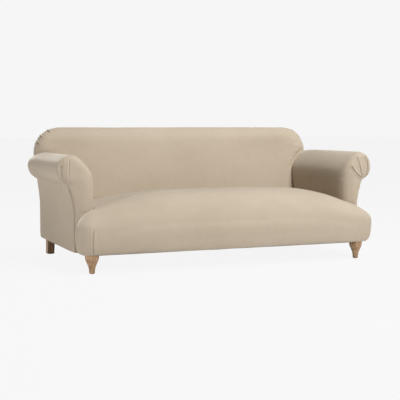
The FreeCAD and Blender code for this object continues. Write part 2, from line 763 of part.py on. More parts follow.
def build():
    back_outer = back_form(0.0, 0.0)
    seat_outer = seat_form(0.0)
    seat_inner = seat_form(COVER_T)
    void = platform_void()
    wire = spring_wire()

    timber = {
        "front_seat_rail": front_seat_rail(),
        "back_sill_rail": box(-FRAME_HALF, FRAME_HALF, SILL_Y, FRAME_REAR_Y, RAIL_BOTTOM, RAIL_TOP),
        "spring_rail": box(-POST_INNER, POST_INNER, SPRING_RAIL_Y, SPRING_RAIL_Y + RAIL_T, RAIL_BOTTOM, RAIL_TOP),
        "back_lower_rail": back_lower_rail(),
        "back_top_rail": back_top_rail(),
    }
    for node, shape in timber.items():
        save(shape, node)
    save(Part.makeCompound(seat_stretchers()), "seat_stretchers")
    save(Part.makeCompound(back_uprights()), "back_uprights")

    holes = [upright_cylinder(x, y, 0.0, RAIL_BOTTOM + BLOCK_H, BOLT_R) for x, y in bolt_spots()]
    top = RAIL_BOTTOM + BLOCK_H
    holes += [upright_cylinder(x, y, top - TEE_BARREL_H, top, TEE_BARREL_R) for x, y in bolt_spots()]
    bolt_holes = fuse_all(holes)
    front_blocks = [block.cut(bolt_holes) for block in corner_blocks(FRONT_RAIL_Y + RAIL_T)]
    back_blocks = [block.cut(bolt_holes) for block in corner_blocks(SILL_Y - BLOCK_W)]
    save(Part.makeCompound(front_blocks), "front_corner_blocks")
    save(Part.makeCompound(back_blocks), "back_corner_blocks")

    legs = []
    for name, side in SIDES.items():
        for kind, shape in (("front_leg", front_leg()), ("back_leg", back_leg())):
            leg = on_side(shape, side)
            legs.append(leg)
            save(leg, "%s_%s" % (kind, name))
    save(Part.makeCompound(leg_bolts()), "leg_bolts")
    save(Part.makeCompound(tee_nuts()), "tee_nuts")
    save(Part.makeCompound(foot_glides()), "foot_glides")

    springs = []
    for x in spring_positions():
        spring = wire.copy()
        spring.translate(V(x, 0, 0))
        springs.append(spring)
    save(Part.makeCompound(springs), "seat_springs")
    save(Part.makeCompound(spring_clips()), "spring_clips")
    save(seat_hessian(), "seat_hessian")
    save(Part.makeCompound(back_webbing()), "back_webbing")

    dust = void.common(box(-FRAME_HALF, FRAME_HALF, FRONT_RAIL_Y, FRAME_REAR_Y, HEM_Z, RAIL_BOTTOM))
    save(dust.cut(fuse_all(legs)).cut(bolt_holes), "dust_cover")

    arm_wood = {
        "arm_front_board": arm_front_board(),
        "arm_rear_board": arm_rear_board(),
        "arm_top_rail": arm_rail(ARM_TOP_RAIL_Z, ARM_CORE_TOP, 420.0),
        "arm_lower_rail": arm_rail(ARM_LOWER_RAIL_Z, ARM_LOWER_RAIL_Z + 40.0, 330.0),
        "arm_roll_rail": arm_roll_rail(),
    }
    wood = fuse_all(list(arm_wood.values()))
    core = box(ARM_CORE_INNER, FRAME_HALF + 2.0 * SLACK, BOARD_FRONT_Y, FRAME_REAR_Y,
               PLATFORM_Z - SLACK, ARM_CORE_TOP)
    cover, filling = cover_and_filling(arm_form(0.0, 0.0), arm_form(COVER_T, SLACK), arm_form(COVER_T, 0.0),
                                       [seat_outer, back_outer, core, wood])
    for fold in arm_front_folds():
        cover = cover.cut(fold)
    cover = whole_solids(cover, 2000.0)
    filling = whole_solids(filling, 20000.0)
    panel = side_panel()
    webbing = Part.makeCompound(arm_webbing())
    post = back_frame_board(POST_INNER, FRAME_HALF)
    for name, side in SIDES.items():
        for node, shape in arm_wood.items():
            save(on_side(shape, side), "%s_%s" % (node, name))
        save(on_side(side_rail(), side), "side_rail_%s" % name)
        save(on_side(post, side), "back_post_%s" % name)
        save(on_side(webbing, side), "arm_webbing_%s" % name)
        save(on_side(filling, side), "arm_filling_%s" % name)
        save(on_side(cover, side), "arm_cover_%s" % name)
        save(on_side(panel, side), "outside_arm_%s" % name)
    save(back_panel(), "outside_back")

    both_arms_wood = wood.fuse(on_side(wood, -1))
    cover, filling = cover_and_filling(back_outer, back_form(COVER_T, SLACK), back_form(COVER_T, 0.0),
                                       [back_core(), both_arms_wood])
    for fold in back_corner_folds():
        cover = cover.cut(fold).cut(on_side(fold, -1))
    save(whole_solids(cover, 2000.0), "back_cover")
    save(whole_solids(filling, 20000.0), "back_filling")

    cover, filling = cover_and_filling(seat_outer, seat_inner, seat_inner, [back_outer, void, fuse_all(legs)])
    fold = seat_corner_fold()
    cover = cover.cut(fold).cut(on_side(fold, -1))
    save(whole_solids(cover, 2000.0), "seat_cover")
    save(whole_solids(filling, 20000.0), "seat_filling")


build()
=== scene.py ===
import math
import bmesh
import bpy
import numpy as np
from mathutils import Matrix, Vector, noise
from mathutils.bvhtree import BVHTree


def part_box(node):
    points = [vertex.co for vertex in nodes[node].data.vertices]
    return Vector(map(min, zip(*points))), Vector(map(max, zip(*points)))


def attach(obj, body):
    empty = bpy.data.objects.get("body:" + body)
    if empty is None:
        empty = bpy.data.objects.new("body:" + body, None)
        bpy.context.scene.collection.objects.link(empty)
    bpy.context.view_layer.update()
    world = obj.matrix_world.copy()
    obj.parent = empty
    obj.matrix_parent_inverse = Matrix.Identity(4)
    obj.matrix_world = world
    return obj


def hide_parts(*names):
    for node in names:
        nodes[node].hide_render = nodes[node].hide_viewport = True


# English roll arm sofa. Lengths in the shape formulas are millimetres, and meshes are metres.
# X runs across the sofa (+X is the right-hand side seen from the front), the sofa faces -Y, Z is up.

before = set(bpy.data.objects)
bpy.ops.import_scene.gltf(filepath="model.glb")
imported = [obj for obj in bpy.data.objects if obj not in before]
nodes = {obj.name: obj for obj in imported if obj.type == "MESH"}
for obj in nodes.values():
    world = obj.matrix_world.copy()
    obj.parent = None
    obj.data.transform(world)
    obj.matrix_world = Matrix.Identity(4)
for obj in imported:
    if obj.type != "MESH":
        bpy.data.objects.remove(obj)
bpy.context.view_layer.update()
scene = bpy.context.scene
SIDES = {"left": -1.0, "right": 1.0}
BODY = "root"

# Sizes shared with the solids
HEM_Z = 102.0
PLATFORM_Z = 231.5
FRAME_HALF = 880.0
SEAT_FRONT_Y = -533.0
SEAT_HALF = 788.0
SEAT_CORNER_X = 870.0
SEAT_CORNER_R = 55.0
SEAT_BELLY_Z = 240.0
SEAT_CREST_Y = -343.5
SEAT_CREST_MID = 442.0
SEAT_CREST_SIDE = 348.0
SEAT_REAR_Y = -334.5
SEAT_REAR_Z = 345.0
BACK_SLOPE = 0.274
BACK_REF_Y = 272.5
BACK_REF_Z = 384.0
BACK_RIDGE_Y = 437.5
BACK_REAR_Y = 510.0
BACK_STEP_X = 870.0
BACK_END = 942.0
BACK_END_R = 72.0
BACK_CORNER_X = 782.0
BACK_CORNER_Z = 640.0
BACK_CORNER_R = 160.0
BACK_SWELL = 12.0
ARM_INNER = 788.0
ARM_SPRINGING_Z = 470.0
ARM_FRONT_Y = -378.5
ARM_REAR_Y = 445.0
ARM_REAR_ROUND = 55.0
ROLL_X = 912.0
ROLL_Z = 562.0
ROLL_R = 88.0
ROLL_END_DEG = -80.0
FRONT_LEG_X = 831.0
FRONT_LEG_Y = -458.5

# Notch under the roll's front, X and Z, and the ends of the outside arm panel
FAN = (927.0, 482.0)
PANEL_FRONT_Y = -334.2
PANEL_TOP_Z = 479.0

# How far a skin starts inside its solid, because it is puffed out afterwards
WIDE_INSET = 4.0
ARM_INSET = 3.0

# Simulation of the padded covers: voxels and the furthest that a point may move, in metres
WIDE_VOXEL = 0.015
WIDE_CAP = 0.006
ARM_VOXEL = 0.012
ARM_CAP = 0.005
SINK_ALLOWED = 0.0004
CLOTH_PRESSURE = 4.0
CLOTH_FRAMES = 10
RELAX_ROUNDS = 5

# Folds and pleats: depth and width, and how far off a swelling lies and how high it is
LEFT_CORNER_FOLD = {"depth": 5.5, "width": 4.0, "hump_at": 8.0, "hump": 3.0}
LEFT_CORNER_HOLLOW = {"depth": 6.0, "width": 15.0, "hump_at": 30.0, "hump": 1.5}
RIGHT_CORNER_FOLD = {"depth": 1.2, "width": 7.0, "hump_at": 10.0, "hump": 0.5}
BACK_PLEAT = {"depth": 7.5, "width": 2.8, "hump_at": 7.0, "hump": 2.8}
BACK_PLEAT_DEGREES = (61.0, 38.0, 21.0)
ARM_HOLLOW = {"depth": 13.0, "width": 13.0, "hump_at": 30.0, "hump": 1.5}
ARM_RIDGE = {"depth": 1.6, "width": 2.6, "hump_at": 6.0, "hump": 1.6}
ARM_PLEAT = {"depth": 5.5, "width": 2.4, "hump_at": 6.5, "hump": 2.0}

# Pleats over each scroll front, as X and Z in front view
SCROLL_PLEATS = {
    "left": [
        (ARM_HOLLOW, [(930.0, 484.0), (950.0, 494.0), (969.0, 516.0), (979.0, 550.0), (978.0, 592.0)]),
        (ARM_RIDGE, [(928.0, 492.0), (932.0, 530.0), (932.0, 580.0), (930.0, 622.0)]),
    ],
    "right": [
        (ARM_PLEAT, [FAN, (910.0, 490.0), (886.0, 508.0), (860.0, 532.0), (842.0, 558.0)]),
        (ARM_PLEAT, [FAN, (920.0, 505.0), (908.0, 545.0), (895.0, 588.0), (887.0, 616.0)]),
        (ARM_PLEAT, [FAN, (947.0, 498.0), (959.0, 528.0), (961.0, 566.0), (955.0, 598.0), (943.0, 624.0)]),
    ],
}

# How far the seat's left front corner is turned back, and how far its ends move to the right
LEFT_CORNER_BACK = 26.0
SEAT_END_OUT = {"left": 4.0, "right": 8.0}

# How far the roll drops towards its rear, and how far each arm's inner front moves to the right
ROLL_DROP = 22.0
ROLL_DROP_START_Y = 180.0
INNER_FRONT_SHIFT = {"left": 4.0, "right": 13.0}


# Curves and meshes


def superellipse(t, power):
    """Height, from 1 down to 0, of a rounded shoulder at t from 0 to 1."""
    t = min(1.0, max(0.0, t))
    return max(0.0, 1.0 - t ** power) ** (1.0 / power)


def ramp(values, start, end):
    """0 up to the start, rising evenly to 1 at the end."""
    return np.clip((values - start) / (end - start), 0.0, 1.0)


def closer_at_ends(count):
    """Shares from 0 to 1 that lie closer together at both ends."""
    return 0.5 - 0.5 * np.cos(np.linspace(0.0, math.pi, count))


def crease(gap, depth, width):
    """Depth of a crease at a distance from its line. Beyond the line, below 0, it stays full."""
    return depth * bump(np.maximum(0.0, gap), width)


def edge_fall(gap, reach, depth):
    """How far a rounded edge has fallen away at a distance from it."""
    share = 1.0 - np.clip(gap / reach, 0.0, 1.0)
    return depth * (1.0 - np.sqrt(np.maximum(0.0, 1.0 - share ** 2)))


def even(points, count):
    """Evenly spaced points along a run of points."""
    p = np.asarray(points, float)
    along = np.concatenate([[0.0], np.cumsum(np.linalg.norm(np.diff(p, axis=0), axis=1))])
    wanted = np.linspace(0.0, along[-1], count)
    return np.stack([np.interp(wanted, along, p[:, k]) for k in range(p.shape[1])], axis=1)


def spline(points, count):
    """Evenly spaced points along a smooth curve through a few points."""
    p = np.asarray(points, float)
    n = len(p)
    h = np.linalg.norm(np.diff(p, axis=0), axis=1)
    knots = np.concatenate([[0.0], np.cumsum(h)])
    a = np.eye(n)
    rhs = np.zeros_like(p)
    for i in range(1, n - 1):
        a[i, i - 1:i + 2] = (h[i - 1], 2.0 * (h[i - 1] + h[i]), h[i])
        rhs[i] = 6.0 * ((p[i + 1] - p[i]) / h[i] - (p[i] - p[i - 1]) / h[i - 1])
    m = np.linalg.solve(a, rhs)
    t = np.linspace(0.0, knots[-1], 10 * count)
    k = np.clip(np.searchsorted(knots, t, side="right") - 1, 0, n - 2)
    left = (t - knots[k])[:, None]
    right = (knots[k + 1] - t)[:, None]
    width = h[k][:, None]
    curve = (m[k] * right ** 3 + m[k + 1] * left ** 3) / (6.0 * width)
    from_right = (p[k] / width - m[k] * width / 6.0) * right
    from_left = (p[k + 1] / width - m[k + 1] * width / 6.0) * left
    curve += from_right + from_left
    return even(curve, count)


def ring_loft(rings, cap_rings=10, caps=(True, True)):
    """Vertices and faces through closed rings of equal counts, with ends closed by shrinking rings."""
    rings = [np.asarray(r, float) for r in rings]
    for first, wanted in ((True, caps[0]), (False, caps[1])):
        if not wanted:
            continue
        edge = rings[0] if first else rings[-1]
        centre = edge.mean(axis=0)
        for i in range(1, cap_rings + 1):
            share = 1.0 - i / (cap_rings + 0.5)
            ring = centre + (edge - centre) * share
            rings = [ring] + rings if first else rings + [ring]
    n = len(rings[0])
    verts = np.concatenate(rings)
    faces = []
    for r in range(len(rings) - 1):
        for k in range(n):
            nxt = (k + 1) % n
            faces.append((r * n + k, r * n + nxt, (r + 1) * n + nxt, (r + 1) * n + k))
    if caps[0]:
        faces.append(tuple(range(n - 1, -1, -1)))
    if caps[1]:
        last = (len(rings) - 1) * n
        faces.append(tuple(range(last, last + n)))
    return verts, faces


def joined(parts):
    """Vertices and faces of several parts as one list each."""
    verts, faces, base = [], [], 0
    for v, f in parts:
        verts.append(v)
        faces += [tuple(i + base for i in face) for face in f]
        base += len(v)
    return np.concatenate(verts), faces


def new_object(name, verts_mm, faces):
    mesh = bpy.data.meshes.new(name)
    mesh.from_pydata((np.asarray(verts_mm) * 0.001).tolist(), [], faces)
    mesh.validate()
    obj = bpy.data.objects.new(name, mesh)
    scene.collection.objects.link(obj)
    work = bmesh.new()
    work.from_mesh(mesh)
    bmesh.ops.recalc_face_normals(work, faces=work.faces)
    work.to_mesh(mesh)
    work.free()
    return obj


def coords(obj):
    """Vertex positions in metres."""
    flat = np.zeros(len(obj.data.vertices) * 3, np.float32)
    obj.data.vertices.foreach_get("co", flat)
    return flat.reshape(-1, 3).astype(float)


def set_coords(obj, points):
    obj.data.vertices.foreach_set("co", points.astype(np.float32).ravel())
    obj.data.update()


def vertex_normals(obj):
    flat = np.zeros(len(obj.data.vertices) * 3, np.float32)
    obj.data.vertices.foreach_get("normal", flat)
    return flat.reshape(-1, 3).astype(float)


def evaluated(obj):
    """Replaces a mesh by what its modifiers make of it, and removes them."""
    graph = bpy.context.evaluated_depsgraph_get()
    mesh = bpy.data.meshes.new_from_object(obj.evaluated_get(graph))
    obj.modifiers.clear()
    old = obj.data
    obj.data = mesh
    bpy.data.meshes.remove(old)


def remesh(obj, voxel):
    modifier = obj.modifiers.new("Remesh", "REMESH")
    modifier.mode = "VOXEL"
    modifier.voxel_size = voxel
    modifier.adaptivity = 0.0
    evaluated(obj)


def subdivide(obj):
    modifier = obj.modifiers.new("Subdivision", "SUBSURF")
    modifier.levels = 1
    modifier.render_levels = 1
    evaluated(obj)


def relax(obj, rounds):
    """Evens out a mesh without shrinking it."""
    points = coords(obj)
    edges = np.zeros(len(obj.data.edges) * 2, np.int32)
    obj.data.edges.foreach_get("vertices", edges)
    edges = edges.reshape(-1, 2)
    count = np.bincount(edges.ravel(), minlength=len(points)).astype(float)[:, None]
    count[count == 0.0] = 1.0
    for i in range(2 * rounds):
        total = np.zeros_like(points)
        for axis in range(3):
            total[:, axis] += np.bincount(edges[:, 0], points[edges[:, 1], axis], len(points))
            total[:, axis] += np.bincount(edges[:, 1], points[edges[:, 0], axis], len(points))
        points = points + (0.5 if i % 2 == 0 else -0.51) * (total / count - points)
    set_coords(obj, points)


def puff(obj, pinned, cap):
    """Lets a cover fill out like stretched cloth over its padding, for a short capped simulation."""
    rest = coords(obj)
    outward = vertex_normals(obj)
    group = obj.vertex_groups.new(name="pin")
    group.add([int(i) for i in np.nonzero(pinned)[0]], 1.0, "REPLACE")
    cloth = obj.modifiers.new("Cloth", "CLOTH")
    cloth.settings.quality = 3
    cloth.settings.vertex_group_mass = "pin"
    cloth.settings.use_pressure = True
    cloth.settings.uniform_pressure_force = CLOTH_PRESSURE
    cloth.settings.effector_weights.gravity = 0.0
    cloth.collision_settings.use_collision = False
    cloth.point_cache.frame_start = 1
    cloth.point_cache.frame_end = CLOTH_FRAMES
    for step in range(1, CLOTH_FRAMES + 1):
        scene.frame_set(step)
    graph = bpy.context.evaluated_depsgraph_get()
    mesh = bpy.data.meshes.new_from_object(obj.evaluated_get(graph))
    flat = np.zeros(len(mesh.vertices) * 3, np.float32)
    mesh.vertices.foreach_get("co", flat)
    moved = flat.reshape(-1, 3).astype(float) - rest
    bpy.data.meshes.remove(mesh)
    obj.modifiers.clear()
    obj.vertex_groups.clear()
    scene.frame_set(1)
    sunk = np.minimum(0.0, (moved * outward).sum(axis=1) + SINK_ALLOWED)[:, None]
    moved -= outward * sunk
    length = np.linalg.norm(moved, axis=1)[:, None]
    set_coords(obj, rest + moved * cap * np.tanh(length / cap) / np.maximum(length, 1e-9))


def distance_to_run(points, run):
    """Shortest distance from each point to a run of straight pieces, and which way along the run it is."""
    best = np.full(len(points), 1e9)
    where = np.zeros(len(points))
    total = len(run) - 1.0
    for i, (a, b) in enumerate(zip(run[:-1], run[1:])):
        a = np.asarray(a, float)
        d = np.asarray(b, float) - a
        t = np.clip(((points - a) @ d) / max(d @ d, 1e-12), 0.0, 1.0)
        gap = np.linalg.norm(points - a - t[:, None] * d, axis=1)
        nearer = gap < best
        best[nearer] = gap[nearer]
        where[nearer] = (i + t[nearer]) / total
    return best, where


def laid_on(obj, runs_mm):
    """Runs brought onto the surface of a mesh, at close spacing."""
    faces = [tuple(f.vertices) for f in obj.data.polygons]
    tree = BVHTree.FromPolygons([Vector(v) for v in coords(obj)], faces)
    out = []
    for run in runs_mm:
        out.append([tuple(tree.find_nearest(Vector(q) * 0.001)[0] * 1000.0) for q in even(run, 24)])
    return out


def refine_near(obj, runs_mm, reach_mm, cuts):
    """Divides the mesh more finely along some lines."""
    points = coords(obj) * 1000.0
    near = np.zeros(len(points), bool)
    for run in runs_mm:
        near |= distance_to_run(points, run)[0] < reach_mm
    work = bmesh.new()
    work.from_mesh(obj.data)
    work.verts.ensure_lookup_table()
    picked = [f for f in work.faces if all(near[v.index] for v in f.verts)]
    edges = list({e for f in picked for e in f.edges})
    bmesh.ops.subdivide_edges(work, edges=edges, cuts=cuts, use_grid_fill=True, smooth=0.0)
    work.to_mesh(obj.data)
    work.free()


def unevenness(points_mm, *layers):
    """Hand-made unevenness of padding, in layers of an amount and a size in millimetres, and a seed."""
    total = np.zeros(len(points_mm))
    for amount_mm, size_mm, seed in layers:
        for i, (x, y, z) in enumerate(points_mm / size_mm):
            total[i] += noise.noise(Vector((x + seed, y, z))) * amount_mm
    return total


def bump(distance, width):
    """1 at no distance, falling smoothly to almost nothing at twice the width."""
    return np.exp(-(distance / width) ** 2)


# Shape formulas


def back_face_y(z):
    """Depth of the back's sloping front face, without its swell."""
    return BACK_REF_Y + BACK_SLOPE * (z - BACK_REF_Z)


def back_top(x):
    return BACK_CORNER_Z + BACK_CORNER_R * superellipse((abs(x) - BACK_CORNER_X) / BACK_CORNER_R, 2.2)


def back_ring(x, low, t):
    """Outline of the back at x, from its front foot over the top to its rear foot."""
    top = back_top(x) - t
    end_in = 61.2
    draw_in = end_in * (1.0 - superellipse((abs(x) + t - BACK_STEP_X) / BACK_END_R, 2.0))
    swell = BACK_SWELL * max(0.0, 1.0 - (x / BACK_STEP_X) ** 2)
    least_roll, more_roll = 60.0, 50.0
    roll_z = top - least_roll - more_roll * (back_top(x) - BACK_CORNER_Z) / BACK_CORNER_R
    rise = top - roll_z
    bend_z = max(ARM_SPRINGING_Z, low + 6.0)

    def face(z, amount):
        return (back_face_y(z) + t + draw_in - swell * amount, z)

    middle_z = 0.5 * (bend_z + roll_z)
    rear_out = max(1.0, 21.0 - t - 0.35 * draw_in)
    over = [face(bend_z, 1.0), face(middle_z, 0.9), face(roll_z, 0.6),
            (381.0 + 0.9 * t + 0.7 * draw_in, roll_z + 0.66 * rise), (BACK_RIDGE_Y + 0.3 * draw_in, top),
            (496.0 - 0.6 * t - 0.1 * draw_in, roll_z + 0.78 * rise),
            (BACK_REAR_Y + rear_out, roll_z + 0.36 * rise), (BACK_REAR_Y, roll_z - 4.0)]
    lower = even([face(low, 0.0), over[0]], 30)
    rear = even([over[-1], (BACK_REAR_Y, low)], 26)
    foot = even([(BACK_REAR_Y, low), face(low, 0.0)], 14)
    outline = np.concatenate([lower[:-1], spline(over, 80)[:-1], rear[:-1], foot[:-1]])
    return np.column_stack([np.full(len(outline), x), outline])


def seat_crest(x):
    """Height of the seat's crest, which falls in front of the arms to the belly's height."""
    if abs(x) <= SEAT_HALF:
        return SEAT_CREST_MID - (SEAT_CREST_MID - SEAT_CREST_SIDE) * (abs(x) / SEAT_HALF) ** 3.7
    fall_width = 140.0
    height = SEAT_CREST_SIDE - SEAT_BELLY_Z
    return SEAT_BELLY_Z + height * superellipse((abs(x) - SEAT_HALF) / fall_width, 1.75)


def seat_front_y(x):
    """Most forward point of the seat at x: a slight bow with rounded corners."""
    bow, bow_half = 9.0, 800.0
    front = SEAT_FRONT_Y + bow * (x / bow_half) ** 2
    across = min(SEAT_CORNER_R, max(0.0, abs(x) - SEAT_CORNER_X))
    return front + SEAT_CORNER_R - math.sqrt(SEAT_CORNER_R ** 2 - across ** 2)


def seat_front_ring(x, t):
    """Outline of the seat's front at x, back to the arms' fronts."""
    belly = seat_front_y(x) + t
    crest = seat_crest(x) - t
    rise = crest - SEAT_BELLY_Z
    depth = SEAT_CREST_Y - belly
    hem_back = 20.0
    fullness = 0.93
    low = spline([(belly + hem_back, HEM_Z), (belly + 11.0, 130.0), (belly + 6.0, 171.0),
                  (belly + 1.4, 205.0), (belly, SEAT_BELLY_Z)], 26)
    curve = []
    for angle in np.radians(np.linspace(0.0, 90.0, 120)):
        curve.append((SEAT_CREST_Y - depth * max(0.0, math.cos(angle)) ** fullness,
                      SEAT_BELLY_Z + rise * math.sin(angle) ** fullness))
    top = even([curve[-1], (SEAT_REAR_Y, crest)], 3)
    rear = even([(SEAT_REAR_Y, crest), (SEAT_REAR_Y, HEM_Z)], 36)
    foot = even([(SEAT_REAR_Y, HEM_Z), (belly + hem_back, HEM_Z)], 26)
    outline = np.concatenate([low[:-1], even(curve, 56)[:-1], top[:-1], rear[:-1], foot[:-1]])
    return np.column_stack([np.full(len(outline), x), outline])


def seat_rear_ring(x, t):
    """Outline of the seat behind its crest at x."""
    crest = seat_crest(x) - t
    drop = SEAT_REAR_Z - t - crest
    into_back = 6.0
    tuck_y = -362.0
    rear_y = back_face_y(SEAT_REAR_Z) + into_back
    top = []
    for share in np.linspace(0.0, 1.0, 80):
        top.append((SEAT_REAR_Y + (rear_y - SEAT_REAR_Y) * share, crest + drop * share ** 2))
    tuck = (tuck_y, crest - 5.0)
    foot = (back_face_y(HEM_Z) + into_back, HEM_Z)
    start = (tuck_y, HEM_Z)
    sides = [even([tuck, top[0]], 5), even(top, 80), even([top[-1], foot], 26), even([foot, start], 60),
             even([start, tuck], 34)]
    outline = np.concatenate([side[:-1] for side in sides])
    return np.column_stack([np.full(len(outline), x), outline])


def taper_seat_ends(points):
    """Draws the seat's ends in towards the rear and under towards the hem."""
    x, y, z = points.T
    rear_share, hem_share = 0.248, 0.241
    out = np.maximum(0.0, np.abs(x) - SEAT_HALF)
    plan = 1.0 - rear_share * ramp(y, -470.0, SEAT_REAR_Y)
    under = 1.0 - hem_share * np.interp(z, (HEM_Z, 116.0, 165.0), (1.0, 0.24, 0.0))
    return np.column_stack([np.sign(x) * (np.minimum(np.abs(x), SEAT_HALF) + out * plan * under), y, z])


def arm_outline(t):
    """Front view of the arm from its inner foot over the roll to under the scroll, as X and Z."""
    radius = ROLL_R - t
    over = 0.4
    shoulder = [(ARM_INNER + t, ARM_SPRINGING_Z), (802.0 + t, 549.0 - 0.3 * t),
                (851.0 + 0.7 * t, 613.0 - 0.8 * t), (ROLL_X, ROLL_Z + radius),
                (ROLL_X + radius * math.sin(over), ROLL_Z + radius * math.cos(over))]
    inner = spline(shoulder, 90)
    inner = inner[inner[:, 0] < ROLL_X]
    arc = [(ROLL_X + radius * math.cos(a), ROLL_Z + radius * math.sin(a))
           for a in np.radians(np.linspace(90.0, ROLL_END_DEG, 90))]
    foot = even([(ARM_INNER + t, PLATFORM_Z), (ARM_INNER + t, ARM_SPRINGING_Z)], 30)
    return np.concatenate([foot[:-1], inner, arc])


def arm_ring(y, t, pad):
    """Closed outline of the right arm at y, its skin set in by t. The front pad flares out under the roll."""
    run = arm_outline(t)
    if pad:
        flare, low_z, high_z = 31.0, 330.0, 472.0
        edge = []
        for z in np.linspace(ARM_SPRINGING_Z, low_z, 12):
            edge.append((893.0 + flare * max(0.0, (z - low_z) / (high_z - low_z)) ** 1.6 - t, z))
        edge.append((892.0 - t, PLATFORM_Z))
    else:
        edge = [(FRAME_HALF, 465.0 + t), (FRAME_HALF, PLATFORM_Z)]
    closed = [even(run, 130)[:-1], even([run[-1]] + edge, 60)[:-1], even([edge[-1], run[0]], 24)[:-1]]
    outline = np.concatenate(closed)
    return np.column_stack([outline[:, 0], np.full(len(outline), y), outline[:, 1]])


def pad_ring(y, t, share):
    """Front pad's outline where its rounding has come this far, soft on the inner side and fuller outside."""
    inner = arm_ring(y, t + 30.0 * share, True)
    outer = arm_ring(y, t + 5.0 * share, True)
    place = np.arange(len(inner)) / 129.0
    weight = np.interp(place, (0.0, 0.84, 0.97, 1.46, 1.62), (1.0, 1.0, 0.0, 0.0, 1.0))
    ring = outer + (inner - outer) * weight[:, None]
    ring[:, 0] += (1.0 - weight) * 10.0 * min(1.0, max(0.0, SEAT_REAR_Y - y) / 26.0)
    below_roll = np.interp(ring[:, 2], (520.0, 600.0), (1.0, 0.0))
    inside = below_roll * np.interp(ring[:, 0], (830.0, FRAME_HALF), (1.0, 0.0))
    ring[:, 0] += 18.0 * share * inside
    ring[:, 1] -= 0.12 * inside * (y - ARM_FRONT_Y - t)
    return ring


def panel_face_x(y, z):
    """Outer face of the outside arm panel."""
    share = (y - PANEL_FRONT_Y) / (BACK_REAR_Y - PANEL_FRONT_Y)
    out = 10.0 + 15.0 * superellipse(abs(2.0 * share - 1.0), 4.0)
    front_share = max(0.0, 1.0 - 5.0 * share)
    low_flare = 7.0 + 6.0 * front_share
    high_flare = 16.0 + 16.0 * front_share
    flares = (0.0, 0.1 * low_flare, 0.4 * low_flare, low_flare, 0.5 * (low_flare + high_flare), high_flare)
    flare = np.interp(z, (300.0, 330.0, 360.0, 400.0, 432.0, 464.0), flares)
    tuck = np.interp(z, (HEM_Z, 112.0, 130.0), (3.0, 1.2, 0.0))
    return FRAME_HALF + out + flare - tuck


# Materials


def cleared_tree(owner, output_kind):
    """Node tree of a material or world, with only its output."""
    owner.use_nodes = True
    owner.node_tree.nodes.clear()
    return owner.node_tree, owner.node_tree.nodes.new(output_kind)


def node_with(tree, kind, values):
    """Node with some of its inputs set."""
    node = tree.nodes.new(kind)
    for name, value in values.items():
        node.inputs[name].default_value = value
    return node


def shader_tree(name):
    """Material with a shader that takes its patterns from the object's own coordinates."""
    material = bpy.data.materials.new(name)
    tree, output = cleared_tree(material, "ShaderNodeOutputMaterial")
    shader = tree.nodes.new("ShaderNodeBsdfPrincipled")
    tree.links.new(shader.outputs["BSDF"], output.inputs["Surface"])
    place = tree.nodes.new("ShaderNodeTexCoord")
    return material, tree, shader, place.outputs["Object"]


def stretched(tree, place, stretch):
    mapping = node_with(tree, "ShaderNodeMapping", {"Scale": stretch})
    tree.links.new(place, mapping.inputs["Vector"])
    return mapping.outputs["Vector"]


def noise_node(tree, place, scale, detail, roughness=0.5, stretch=None):
    if stretch:
        place = stretched(tree, place, stretch)
    node = node_with(tree, "ShaderNodeTexNoise", {"Scale": scale, "Detail": detail, "Roughness": roughness})
    tree.links.new(place, node.inputs["Vector"])
    return node.outputs["Fac"]


def ramp_node(tree, factor, stops):
    node = tree.nodes.new("ShaderNodeValToRGB")
    elements = node.color_ramp.elements
    while len(elements) < len(stops):
        elements.new(0.5)
    for element, (position, colour) in zip(elements, stops):
        element.position = position
        element.color = (*colour, 1.0)
    tree.links.new(factor, node.inputs["Fac"])
    return node.outputs["Color"]


def multiplied(tree, colour, *others):
    """Colours multiplied together."""
    for other in others:
        node = tree.nodes.new("ShaderNodeMix")
        node.data_type = "RGBA"
        node.blend_type = "MULTIPLY"
        node.inputs["Factor"].default_value = 1.0
        tree.links.new(colour, node.inputs["A"])
        tree.links.new(other, node.inputs["B"])
        colour = node.outputs["Result"]
    return colour


def math_node(tree, kind, *values):
    node = tree.nodes.new("ShaderNodeMath")
    node.operation = kind
    for socket, value in zip(node.inputs, values):
        if isinstance(value, bpy.types.NodeSocket):
            tree.links.new(value, socket)
        else:
            socket.default_value = value
    return node.outputs["Value"]


def add_bump(tree, shader, heights):
    """Bumps from several heights, each with its strength and distance in metres."""
    normal = None
    for height, strength, distance in heights:
        node = node_with(tree, "ShaderNodeBump", {"Strength": strength, "Distance": distance})
        tree.links.new(height, node.inputs["Height"])
        if normal is not None:
            tree.links.new(normal, node.inputs["Normal"])
        normal = node.outputs["Normal"]
    tree.links.new(normal, shader.inputs["Normal"])


def linear(r, g, b):
    """Linear colour from a written one of 0 to 255."""
    out = []
    for c in (r / 255.0, g / 255.0, b / 255.0):
        out.append(c / 12.92 if c <= 0.04045 else ((c + 0.055) / 1.055) ** 2.4)
    return tuple(out)


